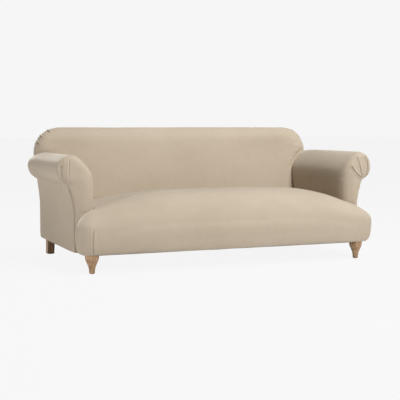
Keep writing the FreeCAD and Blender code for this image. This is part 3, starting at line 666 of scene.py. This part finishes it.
def velvet():
    """Short-pile cotton velvet: broad shifts of the pile, a fine nap and a soft sheen at grazing angles."""
    material, tree, shader, place = shader_tree("velvet")
    broad = noise_node(tree, place, scale=3.2, detail=3.0, roughness=0.55, stretch=(0.6, 0.6, 1.0))
    patch = noise_node(tree, place, scale=26.0, detail=4.0, roughness=0.6)
    fine = noise_node(tree, place, scale=420.0, detail=2.0, roughness=0.6)
    nap = noise_node(tree, place, scale=1500.0, detail=1.0, stretch=(1.0, 1.0, 0.45))
    base = ramp_node(tree, broad, [(0.3, linear(179, 164, 144)), (0.7, linear(187, 172, 153))])
    mottle = ramp_node(tree, patch, [(0.25, (0.955, 0.952, 0.948)), (0.75, (1.0, 1.0, 1.0))])
    pile = ramp_node(tree, fine, [(0.3, (0.95, 0.947, 0.942)), (0.7, (1.0, 1.0, 1.0))])
    tree.links.new(multiplied(tree, base, mottle, pile), shader.inputs["Base Color"])
    rough = math_node(tree, "MULTIPLY_ADD", patch, 0.12, 0.78)
    tree.links.new(rough, shader.inputs["Roughness"])
    shader.inputs["Specular IOR Level"].default_value = 0.25
    shader.inputs["Sheen Weight"].default_value = 0.55
    shader.inputs["Sheen Roughness"].default_value = 0.32
    shader.inputs["Sheen Tint"].default_value = (*linear(244, 238, 228), 1.0)
    add_bump(tree, shader, [(patch, 0.10, 0.004), (fine, 0.22, 0.0006), (nap, 0.30, 0.0003)])
    return material


def wood(name, dark, light, axis_stretch, roughness, ring_scale=55.0):
    """Timber with long grain, growth bands and open pores."""
    material, tree, shader, place = shader_tree(name)
    drift = noise_node(tree, place, scale=6.0, detail=3.0, stretch=axis_stretch)
    wave = node_with(tree, "ShaderNodeTexWave", {"Scale": ring_scale, "Distortion": 7.0, "Detail": 3.0,
                                                 "Detail Scale": 1.6})
    wave.wave_type = "BANDS"
    wave.bands_direction = "DIAGONAL"
    tree.links.new(stretched(tree, place, axis_stretch), wave.inputs["Vector"])
    long_pores = tuple(s * s * 0.35 if s < 1.0 else s for s in axis_stretch)
    pores = noise_node(tree, place, scale=900.0, detail=2.0, roughness=0.6, stretch=long_pores)
    bands = ramp_node(tree, wave.outputs["Fac"], [(0.1, dark), (0.85, light)])
    shade = ramp_node(tree, drift, [(0.3, (0.86, 0.85, 0.84)), (0.7, (1.0, 1.0, 1.0))])
    speck = ramp_node(tree, pores, [(0.36, (0.72, 0.69, 0.66)), (0.52, (1.0, 1.0, 1.0))])
    tree.links.new(multiplied(tree, bands, shade, speck), shader.inputs["Base Color"])
    rough = math_node(tree, "MULTIPLY_ADD", pores, 0.16, roughness)
    tree.links.new(rough, shader.inputs["Roughness"])
    shader.inputs["Specular IOR Level"].default_value = 0.4
    add_bump(tree, shader, [(wave.outputs["Fac"], 0.08, 0.0006), (pores, 0.25, 0.0003)])
    return material


def woven(name, dark, light, threads_per_metre, roughness):
    """Plain woven cloth: two sets of threads crossing, with slubs."""
    material, tree, shader, place = shader_tree(name)
    turns = math.tau * threads_per_metre * 0.5
    split = tree.nodes.new("ShaderNodeSeparateXYZ")
    tree.links.new(place, split.inputs["Vector"])
    across = math_node(tree, "SINE", math_node(tree, "MULTIPLY", split.outputs["X"], turns))
    depth = math_node(tree, "ADD", split.outputs["Y"], split.outputs["Z"])
    along = math_node(tree, "SINE", math_node(tree, "MULTIPLY", depth, turns))
    weave = math_node(tree, "MULTIPLY", across, along)
    slub = noise_node(tree, place, scale=90.0, detail=3.0, roughness=0.6, stretch=(1.0, 0.15, 1.0))
    height = math_node(tree, "ADD", math_node(tree, "MULTIPLY", weave, 0.5), slub)
    colour = ramp_node(tree, height, [(0.1, dark), (0.95, light)])
    tree.links.new(colour, shader.inputs["Base Color"])
    rough = math_node(tree, "MULTIPLY_ADD", slub, 0.1, roughness)
    tree.links.new(rough, shader.inputs["Roughness"])
    shader.inputs["Specular IOR Level"].default_value = 0.2
    add_bump(tree, shader, [(height, 0.4, 0.0008)])
    return material


def metal(name, colour, roughness):
    """Drawn steel with a thin film of oil and light scuffs."""
    material, tree, shader, place = shader_tree(name)
    scuff = noise_node(tree, place, scale=240.0, detail=4.0, roughness=0.6, stretch=(1.0, 0.2, 1.0))
    tint = ramp_node(tree, scuff, [(0.3, tuple(c * 0.8 for c in colour)), (0.7, colour)])
    tree.links.new(tint, shader.inputs["Base Color"])
    shader.inputs["Metallic"].default_value = 1.0
    rough = math_node(tree, "MULTIPLY_ADD", scuff, 0.25, roughness)
    tree.links.new(rough, shader.inputs["Roughness"])
    add_bump(tree, shader, [(scuff, 0.1, 0.0002)])
    return material


def moulded(name, dark, light):
    """Moulded plastic with a fine spark-eroded grain."""
    material, tree, shader, place = shader_tree(name)
    grain = noise_node(tree, place, scale=1300.0, detail=2.0, roughness=0.6)
    tree.links.new(ramp_node(tree, grain, [(0.3, dark), (0.7, light)]), shader.inputs["Base Color"])
    rough = math_node(tree, "MULTIPLY_ADD", grain, 0.2, 0.45)
    tree.links.new(rough, shader.inputs["Roughness"])
    add_bump(tree, shader, [(grain, 0.2, 0.0002)])
    return material


MATERIALS = {
    "velvet": velvet(),
    "leg_oak": wood("leg_oak", linear(154, 119, 86), linear(188, 153, 117), (1.0, 1.0, 0.12), 0.42),
    "beech": wood("beech", linear(196, 160, 122), linear(216, 184, 148), (0.16, 1.0, 1.0), 0.6, 30.0),
    "webbing": woven("webbing", linear(96, 82, 62), linear(186, 168, 132), 620.0, 0.85),
    "hessian": woven("hessian", linear(120, 96, 62), linear(190, 160, 116), 480.0, 0.9),
    "dust_cloth": woven("dust_cloth", linear(26, 26, 28), linear(52, 52, 55), 900.0, 0.9),
    "spring_steel": metal("spring_steel", (0.42, 0.43, 0.45), 0.3),
    "fixing_steel": metal("fixing_steel", (0.62, 0.61, 0.58), 0.28),
    "glide_plastic": moulded("glide_plastic", linear(60, 58, 56), linear(84, 82, 80)),
}


def dress(obj, slot, replaced=(), smooth=True):
    """Finish, material slot and body of a piece."""
    obj.data.materials.clear()
    obj.data.materials.append(MATERIALS[slot])
    for polygon in obj.data.polygons:
        polygon.use_smooth = smooth
    obj.data.update()
    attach(obj, BODY)
    if replaced:
        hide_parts(*replaced)


# Seat


def make_seat():
    inner = np.linspace(0.0, SEAT_HALF, 34)[1:]
    outer = np.linspace(SEAT_HALF, SEAT_CORNER_X - 2.0, 14)[1:]
    corner = SEAT_CORNER_X + SEAT_CORNER_R * np.sin(np.radians(np.linspace(0.0, 90.0, 18)))
    half = np.concatenate([inner, outer, corner])
    across = np.concatenate([-half[::-1], [0.0], half])
    front = ring_loft([seat_front_ring(x, WIDE_INSET) for x in across])
    front = (taper_seat_ends(front[0]), front[1])
    limit = SEAT_HALF - 1.0
    rear = ring_loft([seat_rear_ring(x, WIDE_INSET) for x in np.linspace(-limit, limit, 61)])
    seat = new_object("seat_upholstery", *joined([front, rear]))
    remesh(seat, WIDE_VOXEL)
    relax(seat, RELAX_ROUNDS)

    p = coords(seat) * 1000.0
    hem_z, under_back_y, beside_arm_x, arm_start_y = 110.0, 225.0, 770.0, -350.0
    held = (p[:, 2] < hem_z) | (p[:, 1] > under_back_y)
    held |= (np.abs(p[:, 0]) > beside_arm_x) & (p[:, 1] > arm_start_y)
    puff(seat, held, WIDE_CAP)
    subdivide(seat)
    left_fold, right_fold = laid_on(seat, seat_folds())
    refine_near(seat, [left_fold, right_fold], reach_mm=12.0, cuts=1)

    p = coords(seat) * 1000.0
    normals = vertex_normals(seat)
    shift = unevenness(p, (1.3, 210.0, 3.0), (0.35, 45.0, 9.0)) - seat_creases(p, normals)
    p += normals * shift[:, None]
    p += fold_shift(p, normals, left_fold, **LEFT_CORNER_FOLD)
    hollow = [(x - 60.0, y + 5.0, z) for x, y, z in left_fold]
    p += fold_shift(p, normals, hollow, **LEFT_CORNER_HOLLOW)
    left_corner = ramp(-p[:, 0], 842.0, 922.0) ** 1.5 * ramp(-p[:, 1], 400.0, 460.0)
    p[:, 1] += LEFT_CORNER_BACK * left_corner
    end_out = np.where(p[:, 0] > 0.0, SEAT_END_OUT["right"], SEAT_END_OUT["left"])
    p[:, 0] += ramp(np.abs(p[:, 0]), 800.0, 890.0) * end_out
    p += fold_shift(p, normals, right_fold, **RIGHT_CORNER_FOLD)
    set_coords(seat, p * 0.001)
    dress(seat, "velvet", ("seat_cover", "seat_filling"))


def seat_creases(p, normals):
    """How far the seat's top sinks into the creases along the back and along the arms."""
    back_swell = BACK_SWELL * np.maximum(0.0, 1.0 - (p[:, 0] / BACK_STEP_X) ** 2) * 0.3
    along_back = crease((back_face_y(p[:, 2]) - back_swell) - p[:, 1], depth=9.0, width=14.0)
    arm_start_y, fade_in = -350.0, 10.0
    beside_arm = 1.0 / (1.0 + np.exp(-(p[:, 1] - arm_start_y) / fade_in))
    along_arms = crease(SEAT_HALF - np.abs(p[:, 0]), depth=8.0, width=13.0) * beside_arm
    facing_up = normals[:, 2] > 0.3
    return facing_up * (along_back + along_arms)


def seat_folds():
    """Tucked fold at each front corner, above the leg, the left one first."""
    folds = []
    for side in SIDES.values():
        run = []
        for x, z, back in ((838.0, 262.0, 3.0), (842.0, 226.0, 0.0), (846.0, 165.0, 5.0),
                           (838.0, 104.0, 18.0)):
            run.append((side * x, seat_front_y(x) + back, z))
        folds.append(run)
    return folds


def fold_shift(points, normals, run, depth, width, hump_at, hump):
    """Pushes a narrow fold into a surface along a run, with a soft swelling on each side of it."""
    gap, along = distance_to_run(points, run)
    fade = np.clip(along * 5.0, 0.0, 1.0) * np.clip((1.04 - along) * 12.0, 0.0, 1.0)
    shift = hump * bump(gap - hump_at, 0.6 * hump_at) * fade - depth * bump(gap, width) * fade
    return normals * shift[:, None]


# Back


def make_back():
    wide_x = 864.0
    inner = np.linspace(0.0, BACK_CORNER_X, 30)[1:]
    outer = np.linspace(BACK_CORNER_X, wide_x, 18)[1:]
    half = np.concatenate([inner, outer])
    across = np.concatenate([-half[::-1], [0.0], half])
    parts = [ring_loft([back_ring(x, PLATFORM_Z, WIDE_INSET) for x in across])]
    for side in SIDES.values():
        parts.append(ring_loft(back_end_rings(side)))
    back = new_object("back_upholstery", *joined(parts))
    remesh(back, WIDE_VOXEL)
    relax(back, RELAX_ROUNDS)

    p = coords(back) * 1000.0
    behind_seat_z, panel_y, panel_top_z, arm_gap = 330.0, 500.0, 700.0, 12.0
    held = (p[:, 2] < behind_seat_z) | ((p[:, 1] > panel_y) & (p[:, 2] < panel_top_z))
    held |= distance_to_arm(p) < arm_gap
    puff(back, held, WIDE_CAP)
    subdivide(back)
    pleats = laid_on(back, back_pleats())
    refine_near(back, pleats, reach_mm=12.0, cuts=3)

    p = coords(back) * 1000.0
    normals = vertex_normals(back)
    shift = unevenness(p, (1.3, 230.0, 21.0), (0.3, 50.0, 27.0))
    shift -= crease(p[:, 2] - SEAT_REAR_Z, depth=4.0, width=12.0) * (p[:, 1] < 400.0)
    shift -= crease(distance_to_arm(p), depth=5.0, width=8.0) * (p[:, 1] < 430.0)
    p += normals * shift[:, None]
    folded = np.zeros_like(p)
    for run in pleats:
        folded += fold_shift(p, normals, run, **BACK_PLEAT)
    set_coords(back, (p + folded) * 0.001)
    dress(back, "velvet", ("back_cover", "back_filling"))


def back_end_rings(side):
    """Outlines of the back's end, which reaches down only to the top of the outside arm panel."""
    start_x = 846.0
    rings = []
    for x in start_x + (BACK_END - WIDE_INSET - start_x) * np.sin(np.radians(np.linspace(0.0, 90.0, 28))):
        low = 466.0 + 16.0 * max(0.0, x - FRAME_HALF) / (BACK_END - FRAME_HALF)
        rings.append(back_ring(side * x, low, WIDE_INSET))
    return rings


def distance_to_arm(points):
    """Distance of points, in front view, from the arms' outline on the sofa's inner side."""
    across, up = np.abs(points[:, 0]), points[:, 2]
    best = np.full(len(points), 1e9)
    for x, z in even(arm_outline(0.0), 120):
        best = np.minimum(best, np.hypot(across - x, up - z))
    inside = (across > ARM_INNER) & (up < ARM_SPRINGING_Z)
    inside |= np.hypot(across - ROLL_X, up - ROLL_Z) < ROLL_R
    return np.where(inside, 0.0, best)


def back_pleats():
    """Three short pleats round each top corner, from the face over the top to the rear."""
    pleats = []
    for side in SIDES.values():
        for degrees in BACK_PLEAT_DEGREES:
            angle = math.radians(degrees)
            x = BACK_CORNER_X + BACK_CORNER_R * math.cos(angle) ** 0.9
            z = BACK_CORNER_Z + BACK_CORNER_R * math.sin(angle) ** 0.9
            pleats.append([(side * (x - 11.0), 398.0, z - 15.0), (side * (x - 3.0), 420.0, z - 5.0),
                           (side * x, 445.0, z), (side * (x - 4.0), 500.0, z - 6.0)])
    return pleats


# Arms


def arm_pleats(name, side):
    """Pleats over the scroll front, which follow its rounding back towards the roll's edge."""
    flat_share, edge_back = 0.72, 34.0
    runs = []
    for _, points in SCROLL_PLEATS[name]:
        run = []
        for x, z in spline(points, 16):
            out = math.hypot(x - ROLL_X, z - ROLL_Z) / ROLL_R
            back = edge_back * max(0.0, (out - flat_share) / (1.0 - flat_share)) ** 2
            run.append((side * x, ARM_FRONT_Y + ARM_INSET + back, z))
        runs.append(run)
    return runs


def make_arm(name, side):
    verts, faces = joined([ring_loft(arm_front_rings(), 6), ring_loft(arm_rear_rings(), 6)])
    arm = new_object("arm_upholstery_%s" % name, verts * np.array([side, 1.0, 1.0]), faces)
    remesh(arm, ARM_VOXEL)
    relax(arm, RELAX_ROUNDS)

    p = coords(arm) * 1000.0
    beside_seat_z, pad_rear_y, panel_x, panel_z = 330.0, -340.0, 805.0, 474.0
    under_panel = (np.abs(p[:, 0]) > panel_x) & (p[:, 2] < panel_z)
    held = (p[:, 2] < beside_seat_z) | ((p[:, 1] > pad_rear_y) & under_panel)
    puff(arm, held, ARM_CAP)
    subdivide(arm)
    runs = laid_on(arm, arm_pleats(name, side))
    refine_near(arm, runs, reach_mm=11.0, cuts=3)

    p = coords(arm) * 1000.0
    normals = vertex_normals(arm)
    shift = unevenness(p, (1.1, 170.0, 40.0 + side), (0.3, 40.0, 47.0))
    shift -= crease(back_face_y(p[:, 2]) - p[:, 1], depth=7.0, width=8.0) * (np.abs(p[:, 0]) < 905.0)
    to_fan = np.hypot(np.abs(p[:, 0]) - FAN[0], p[:, 2] - FAN[1])
    shift -= crease(to_fan, depth=6.0, width=9.0) * (p[:, 1] < -330.0)
    p += normals * shift[:, None]
    for run, (sizes, _) in zip(runs, SCROLL_PLEATS[name]):
        p += fold_shift(p, normals, run, **sizes)
    to_rear = ramp(p[:, 1], ROLL_DROP_START_Y, ARM_REAR_Y)
    p[:, 2] -= ROLL_DROP * to_rear ** 2 * ramp(p[:, 2], ROLL_Z, ROLL_Z + ROLL_R)
    inside = np.interp(np.abs(p[:, 0]), (830.0, FRAME_HALF), (1.0, 0.0))
    inside = inside * np.interp(p[:, 2], (540.0, 610.0), (1.0, 0.0))
    p[:, 0] += INNER_FRONT_SHIFT[name] * inside * bump(p[:, 1] - ARM_FRONT_Y, 60.0)
    set_coords(arm, p * 0.001)
    dress(arm, "velvet", ("arm_cover_%s" % name, "arm_filling_%s" % name))


def arm_front_rings():
    """Outlines of the front pad, from its face back over the rounding to where it goes under the arm."""
    rounding = 40.0
    rings = []
    for degrees in np.linspace(0.0, 90.0, 12):
        angle = math.radians(degrees)
        y = ARM_FRONT_Y + ARM_INSET + rounding * (1.0 - math.cos(angle))
        rings.append(pad_ring(y, ARM_INSET, 1.0 - math.sin(angle)))
    for y, more in ((SEAT_REAR_Y - 2.0, 0.0), (-330.0, 2.0), (-322.0, 5.0), (-310.0, 7.0)):
        rings.append(arm_ring(y, ARM_INSET + more, True))
    return rings


def arm_rear_rings():
    """Outlines of the arm behind its front pad, with a rounded rear end."""
    rings = [arm_ring(y, ARM_INSET, False) for y in np.linspace(-350.0, ARM_REAR_Y - ARM_REAR_ROUND, 40)]
    for degrees in (80.0, 70.0, 60.0, 50.0, 40.0, 30.0, 20.0, 12.0):
        angle = math.radians(degrees)
        y = ARM_REAR_Y - ARM_INSET - (ARM_REAR_ROUND - ARM_INSET) * (1.0 - math.cos(angle))
        rings.append(arm_ring(y, ARM_INSET + 44.0 * (1.0 - math.sin(angle)), False))
    return rings


# Outside panels


def closed_panel(name, rings):
    """Panel through rings whose second half runs back behind the first, its ends closed straight across."""
    verts, faces = ring_loft(rings, caps=(False, False))
    around = len(rings[0])
    for base in (0, around * (len(rings) - 1)):
        for k in range(around // 2 - 1):
            faces.append((base + k, base + k + 1, base + around - 2 - k, base + around - 1 - k))
    return new_object(name, verts, faces)


def make_outside_arm(name, side):
    """Padded outside panel, stitched down along all its edges."""
    ys = PANEL_FRONT_Y + (BACK_REAR_Y - PANEL_FRONT_Y) * closer_at_ends(100)
    zs = HEM_Z + (PANEL_TOP_Z - HEM_Z) * closer_at_ends(72)
    rim_fall = edge_fall(np.minimum(zs - zs[0], zs[-1] - zs), reach=6.0, depth=4.0)
    rings = []
    for y in ys:
        side_fall = edge_fall(min(y - ys[0], ys[-1] - y), reach=7.0, depth=5.0)
        outer = [(panel_face_x(y, z) - max(side_fall, rim), z) for z, rim in zip(zs, rim_fall)]
        inner = [(FRAME_HALF, z) for z in zs[::-1]]
        outline = np.concatenate([outer, inner])
        rings.append(np.column_stack([outline[:, 0] * side, np.full(len(outline), y), outline[:, 1]]))
    panel = closed_panel("outside_arm_panel_%s" % name, rings)
    p = coords(panel) * 1000.0
    lift = unevenness(p, (1.2, 190.0, 60.0 + side), (0.25, 40.0, 66.0))
    p[:, 0] += side * lift * (np.abs(p[:, 0]) > FRAME_HALF + 6.0)
    set_coords(panel, p * 0.001)
    dress(panel, "velvet", ("outside_arm_%s" % name,))


def back_panel_half(z):
    """Half the width of the outside back at a height."""
    heights = (HEM_Z, 240.0, 400.0, 480.0, 560.0, 600.0)
    return np.interp(z, heights, (889.0, 893.0, 898.0, 908.0, 922.0, 926.0))


def back_panel_top(x):
    """Height of the outside back's upper edge."""
    return np.interp(np.abs(x), (782.0, 830.0, 880.0, 908.0, 926.0), (689.0, 682.0, 668.0, 652.0, 634.0))


def make_outside_back():
    """Padded outside back, one panel stitched down all round."""
    across = np.sin(np.linspace(-0.5, 0.5, 121) * math.pi)
    widest, face_y = 926.0, 532.4
    rings = []
    for share in closer_at_ends(80):
        z = HEM_Z + share * (back_panel_top(widest * across) - HEM_Z)
        x = across * back_panel_half(z)
        edge = np.minimum(np.minimum(back_panel_half(z) - np.abs(x), z - HEM_Z), back_panel_top(x) - z)
        outer = np.column_stack([x, face_y - edge_fall(edge, reach=16.0, depth=22.0), z])
        inner = np.column_stack([x, np.full(len(x), BACK_REAR_Y), z])[::-1]
        rings.append(np.concatenate([outer, inner]))
    panel = closed_panel("outside_back_panel", rings)
    p = coords(panel) * 1000.0
    lift = unevenness(p, (1.6, 240.0, 80.0), (0.25, 45.0, 83.0)) - 0.9
    p[:, 1] += lift * (p[:, 1] > 525.0)
    set_coords(panel, p * 0.001)
    dress(panel, "velvet", ("outside_back",))


# Inner cloths


def cloth_from_node(node, name, slot, step_mm, wave_mm, axis):
    """A cloth cut to its node's own outline, divided finely and given a slight ripple."""
    obj = bpy.data.objects.new(name, nodes[node].data.copy())
    scene.collection.objects.link(obj)
    low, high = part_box(node)
    work = bmesh.new()
    work.from_mesh(obj.data)
    bmesh.ops.remove_doubles(work, verts=work.verts, dist=1e-6)
    for k in [k for k in range(3) if k != axis]:
        direction = Vector((0.0, 0.0, 0.0))
        direction[k] = 1.0
        place = low[k] + step_mm * 0.0005
        while place < high[k]:
            everything = list(work.verts) + list(work.edges) + list(work.faces)
            bmesh.ops.bisect_plane(work, geom=everything, dist=1e-7, plane_co=direction * place,
                                   plane_no=direction)
            place += step_mm * 0.001
    work.to_mesh(obj.data)
    work.free()
    p = coords(obj) * 1000.0
    flat = p.copy()
    flat[:, axis] = 0.0
    p[:, axis] += unevenness(flat, (wave_mm, 90.0, 5.0))
    set_coords(obj, p * 0.001)
    dress(obj, slot, (node,), smooth=False)
    return obj


def make_inner_cloths():
    dust = cloth_from_node("dust_cover", "dust_cloth", "dust_cloth", step_mm=40.0, wave_mm=0.8, axis=2)
    hessian = cloth_from_node("seat_hessian", "spring_cloth", "hessian", step_mm=40.0, wave_mm=0.5, axis=2)
    cloth_from_node("back_webbing", "back_straps", "webbing", step_mm=30.0, wave_mm=0.0, axis=1)
    for name in SIDES:
        cloth_from_node("arm_webbing_%s" % name, "arm_straps_%s" % name, "webbing",
                        step_mm=30.0, wave_mm=0.0, axis=0)


# Legs


def make_front_leg(name, side):
    """Turned leg with a full round top that falls in to a slim foot."""
    top_z, around = 103.5, 96
    profile = spline([(38.0, top_z), (38.6, 91.0), (36.6, 78.0), (31.0, 64.0), (24.6, 49.0), (19.6, 35.0),
                      (17.2, 22.0), (16.0, 11.0), (15.6, 3.0)], 60)
    soft_foot = [(15.7, 3.6), (15.2, 2.7), (14.2, 2.4)]
    rings = []
    for radius, z in np.concatenate([[(36.0, top_z)], profile[:-1], soft_foot]):
        ring = []
        for k in range(around):
            angle = math.tau * k / around
            x = side * FRONT_LEG_X + radius * math.cos(angle)
            ring.append((x, FRONT_LEG_Y + radius * math.sin(angle), z))
        rings.append(ring)
    leg = new_object("turned_leg_%s" % name, *ring_loft(rings, 3))
    dress(leg, "leg_oak", ("front_leg_%s" % name,))


# Small fixings under the hem


def make_staples():
    """Staples that hold the dust cover to the rails, in one row all round."""
    pitch, half_length, half_width = 42.0, 5.0, 0.6
    spots = []
    for x in np.arange(-840.0, 841.0, pitch):
        spots += [(x, -484.0, True), (x, 498.0, True)]
    for y in np.arange(-380.0, 381.0, pitch):
        spots += [(-868.0, y, False), (868.0, y, False)]
    parts = []
    for x, y, along_x in spots:
        half = np.array([half_length, half_width] if along_x else [half_width, half_length])
        rings = []
        for z, share in ((100.6, 0.92), (101.0, 1.0), (102.4, 1.0), (102.6, 0.96)):
            w, d = half * share
            rings.append([(x - w, y - d, z), (x + w, y - d, z), (x + w, y + d, z), (x - w, y + d, z)])
        parts.append(ring_loft(rings, 1))
    staples = new_object("staples", *joined(parts))
    dress(staples, "fixing_steel", smooth=False)


# Carried-over frame

CAD_FINISH = {
    "back_leg": "leg_oak", "foot_glides": "glide_plastic", "seat_springs": "spring_steel",
    "spring_clips": "spring_steel", "leg_bolts": "fixing_steel", "tee_nuts": "fixing_steel",
}


def dress_frame():
    """Finish of the solids that stay: timber, unless the name says otherwise."""
    for node, obj in nodes.items():
        slot = "beech"
        for start, finish in CAD_FINISH.items():
            if node.startswith(start):
                slot = finish
        if obj.material_slots:
            obj.material_slots[0].material = MATERIALS[slot]
        else:
            obj.data.materials.append(MATERIALS[slot])


# Camera, floor and lights


def make_camera():
    data = bpy.data.cameras.new("camera")
    data.lens = 85.5
    data.sensor_width = 36.0
    data.clip_end = 200.0
    camera = bpy.data.objects.new("camera", data)
    camera.location = (-2.2293, -5.4377, 0.800)
    camera.rotation_euler = (math.radians(90.0 - 4.412), 0.0, math.radians(-22.224))
    scene.collection.objects.link(camera)
    scene.camera = camera


def split_by_ray(tree, lighting, shown, output):
    """One shader for the light on the sofa, another for rays that see, reflect or transmit the backdrop."""
    path = tree.nodes.new("ShaderNodeLightPath")
    seen = math_node(tree, "MAXIMUM", path.outputs["Is Camera Ray"], path.outputs["Is Glossy Ray"])
    seen = math_node(tree, "MAXIMUM", seen, path.outputs["Is Transmission Ray"])
    mix = tree.nodes.new("ShaderNodeMixShader")
    for source, socket in zip((seen, lighting.outputs[0], shown.outputs[0]), mix.inputs):
        tree.links.new(source, socket)
    tree.links.new(mix.outputs[0], output.inputs["Surface"])


PAPER = linear(246, 246, 246)


def make_floor():
    """Pale floor, which keeps a faint shadow of the sofa."""
    size = 60000.0
    corners = [(-size, -size, 0.0), (size, -size, 0.0), (size, size, 0.0), (-size, size, 0.0)]
    floor = new_object("floor", corners, [(0, 1, 2, 3)])
    material = bpy.data.materials.new("floor")
    tree, output = cleared_tree(material, "ShaderNodeOutputMaterial")
    glow = node_with(tree, "ShaderNodeEmission", {"Color": (*PAPER, 1.0), "Strength": 0.975})
    faint = node_with(tree, "ShaderNodeBsdfDiffuse", {"Color": (0.032, 0.032, 0.032, 1.0)})
    shown = tree.nodes.new("ShaderNodeAddShader")
    tree.links.new(glow.outputs[0], shown.inputs[0])
    tree.links.new(faint.outputs[0], shown.inputs[1])
    plain = node_with(tree, "ShaderNodeBsdfDiffuse", {"Color": (0.88, 0.88, 0.88, 1.0)})
    split_by_ray(tree, plain, shown, output)
    floor.data.materials.append(material)


def make_world():
    world = bpy.data.worlds.new("studio")
    scene.world = world
    tree, output = cleared_tree(world, "ShaderNodeOutputWorld")
    light = node_with(tree, "ShaderNodeBackground", {"Color": (0.94, 0.97, 1.0, 1.0), "Strength": 0.09})
    shown = node_with(tree, "ShaderNodeBackground", {"Color": (*PAPER, 1.0), "Strength": 1.0})
    split_by_ray(tree, light, shown, output)


def softbox(name, place, target, size, power, colour, beam=180.0):
    data = bpy.data.lights.new(name, "AREA")
    data.shape = "DISK"
    data.size = size
    data.energy = power
    data.spread = math.radians(beam)
    data.color = colour
    light = bpy.data.objects.new(name, data)
    light.location = place
    aim = Vector(target) - Vector(place)
    light.rotation_euler = aim.to_track_quat("-Z", "Y").to_euler()
    scene.collection.objects.link(light)


make_camera()
make_seat()
make_back()
for side_name, side_sign in SIDES.items():
    make_arm(side_name, side_sign)
    make_outside_arm(side_name, side_sign)
    make_front_leg(side_name, side_sign)
make_outside_back()
make_inner_cloths()
make_staples()
dress_frame()
make_floor()
make_world()
softbox("key", (1.6, -6.0, 5.6), (0.0, 0.0, 0.4), size=2.8, power=470.0, colour=(1.0, 0.995, 0.985))
softbox("top", (1.7, -1.2, 6.0), (0.0, 0.1, 0.4), size=2.4, power=240.0, colour=(0.91, 0.96, 1.0))
softbox("side", (-4.6, 0.2, 0.36), (-0.9, 0.0, 0.35), size=0.7, power=58.0, colour=(1.0, 0.99, 0.98))
softbox("rear", (0.6, 6.5, 2.2), (0.0, 0.3, 0.5), size=2.4, power=13.5, colour=(0.97, 0.985, 1.0), beam=45.0)

scene.view_settings.view_transform = "Standard"
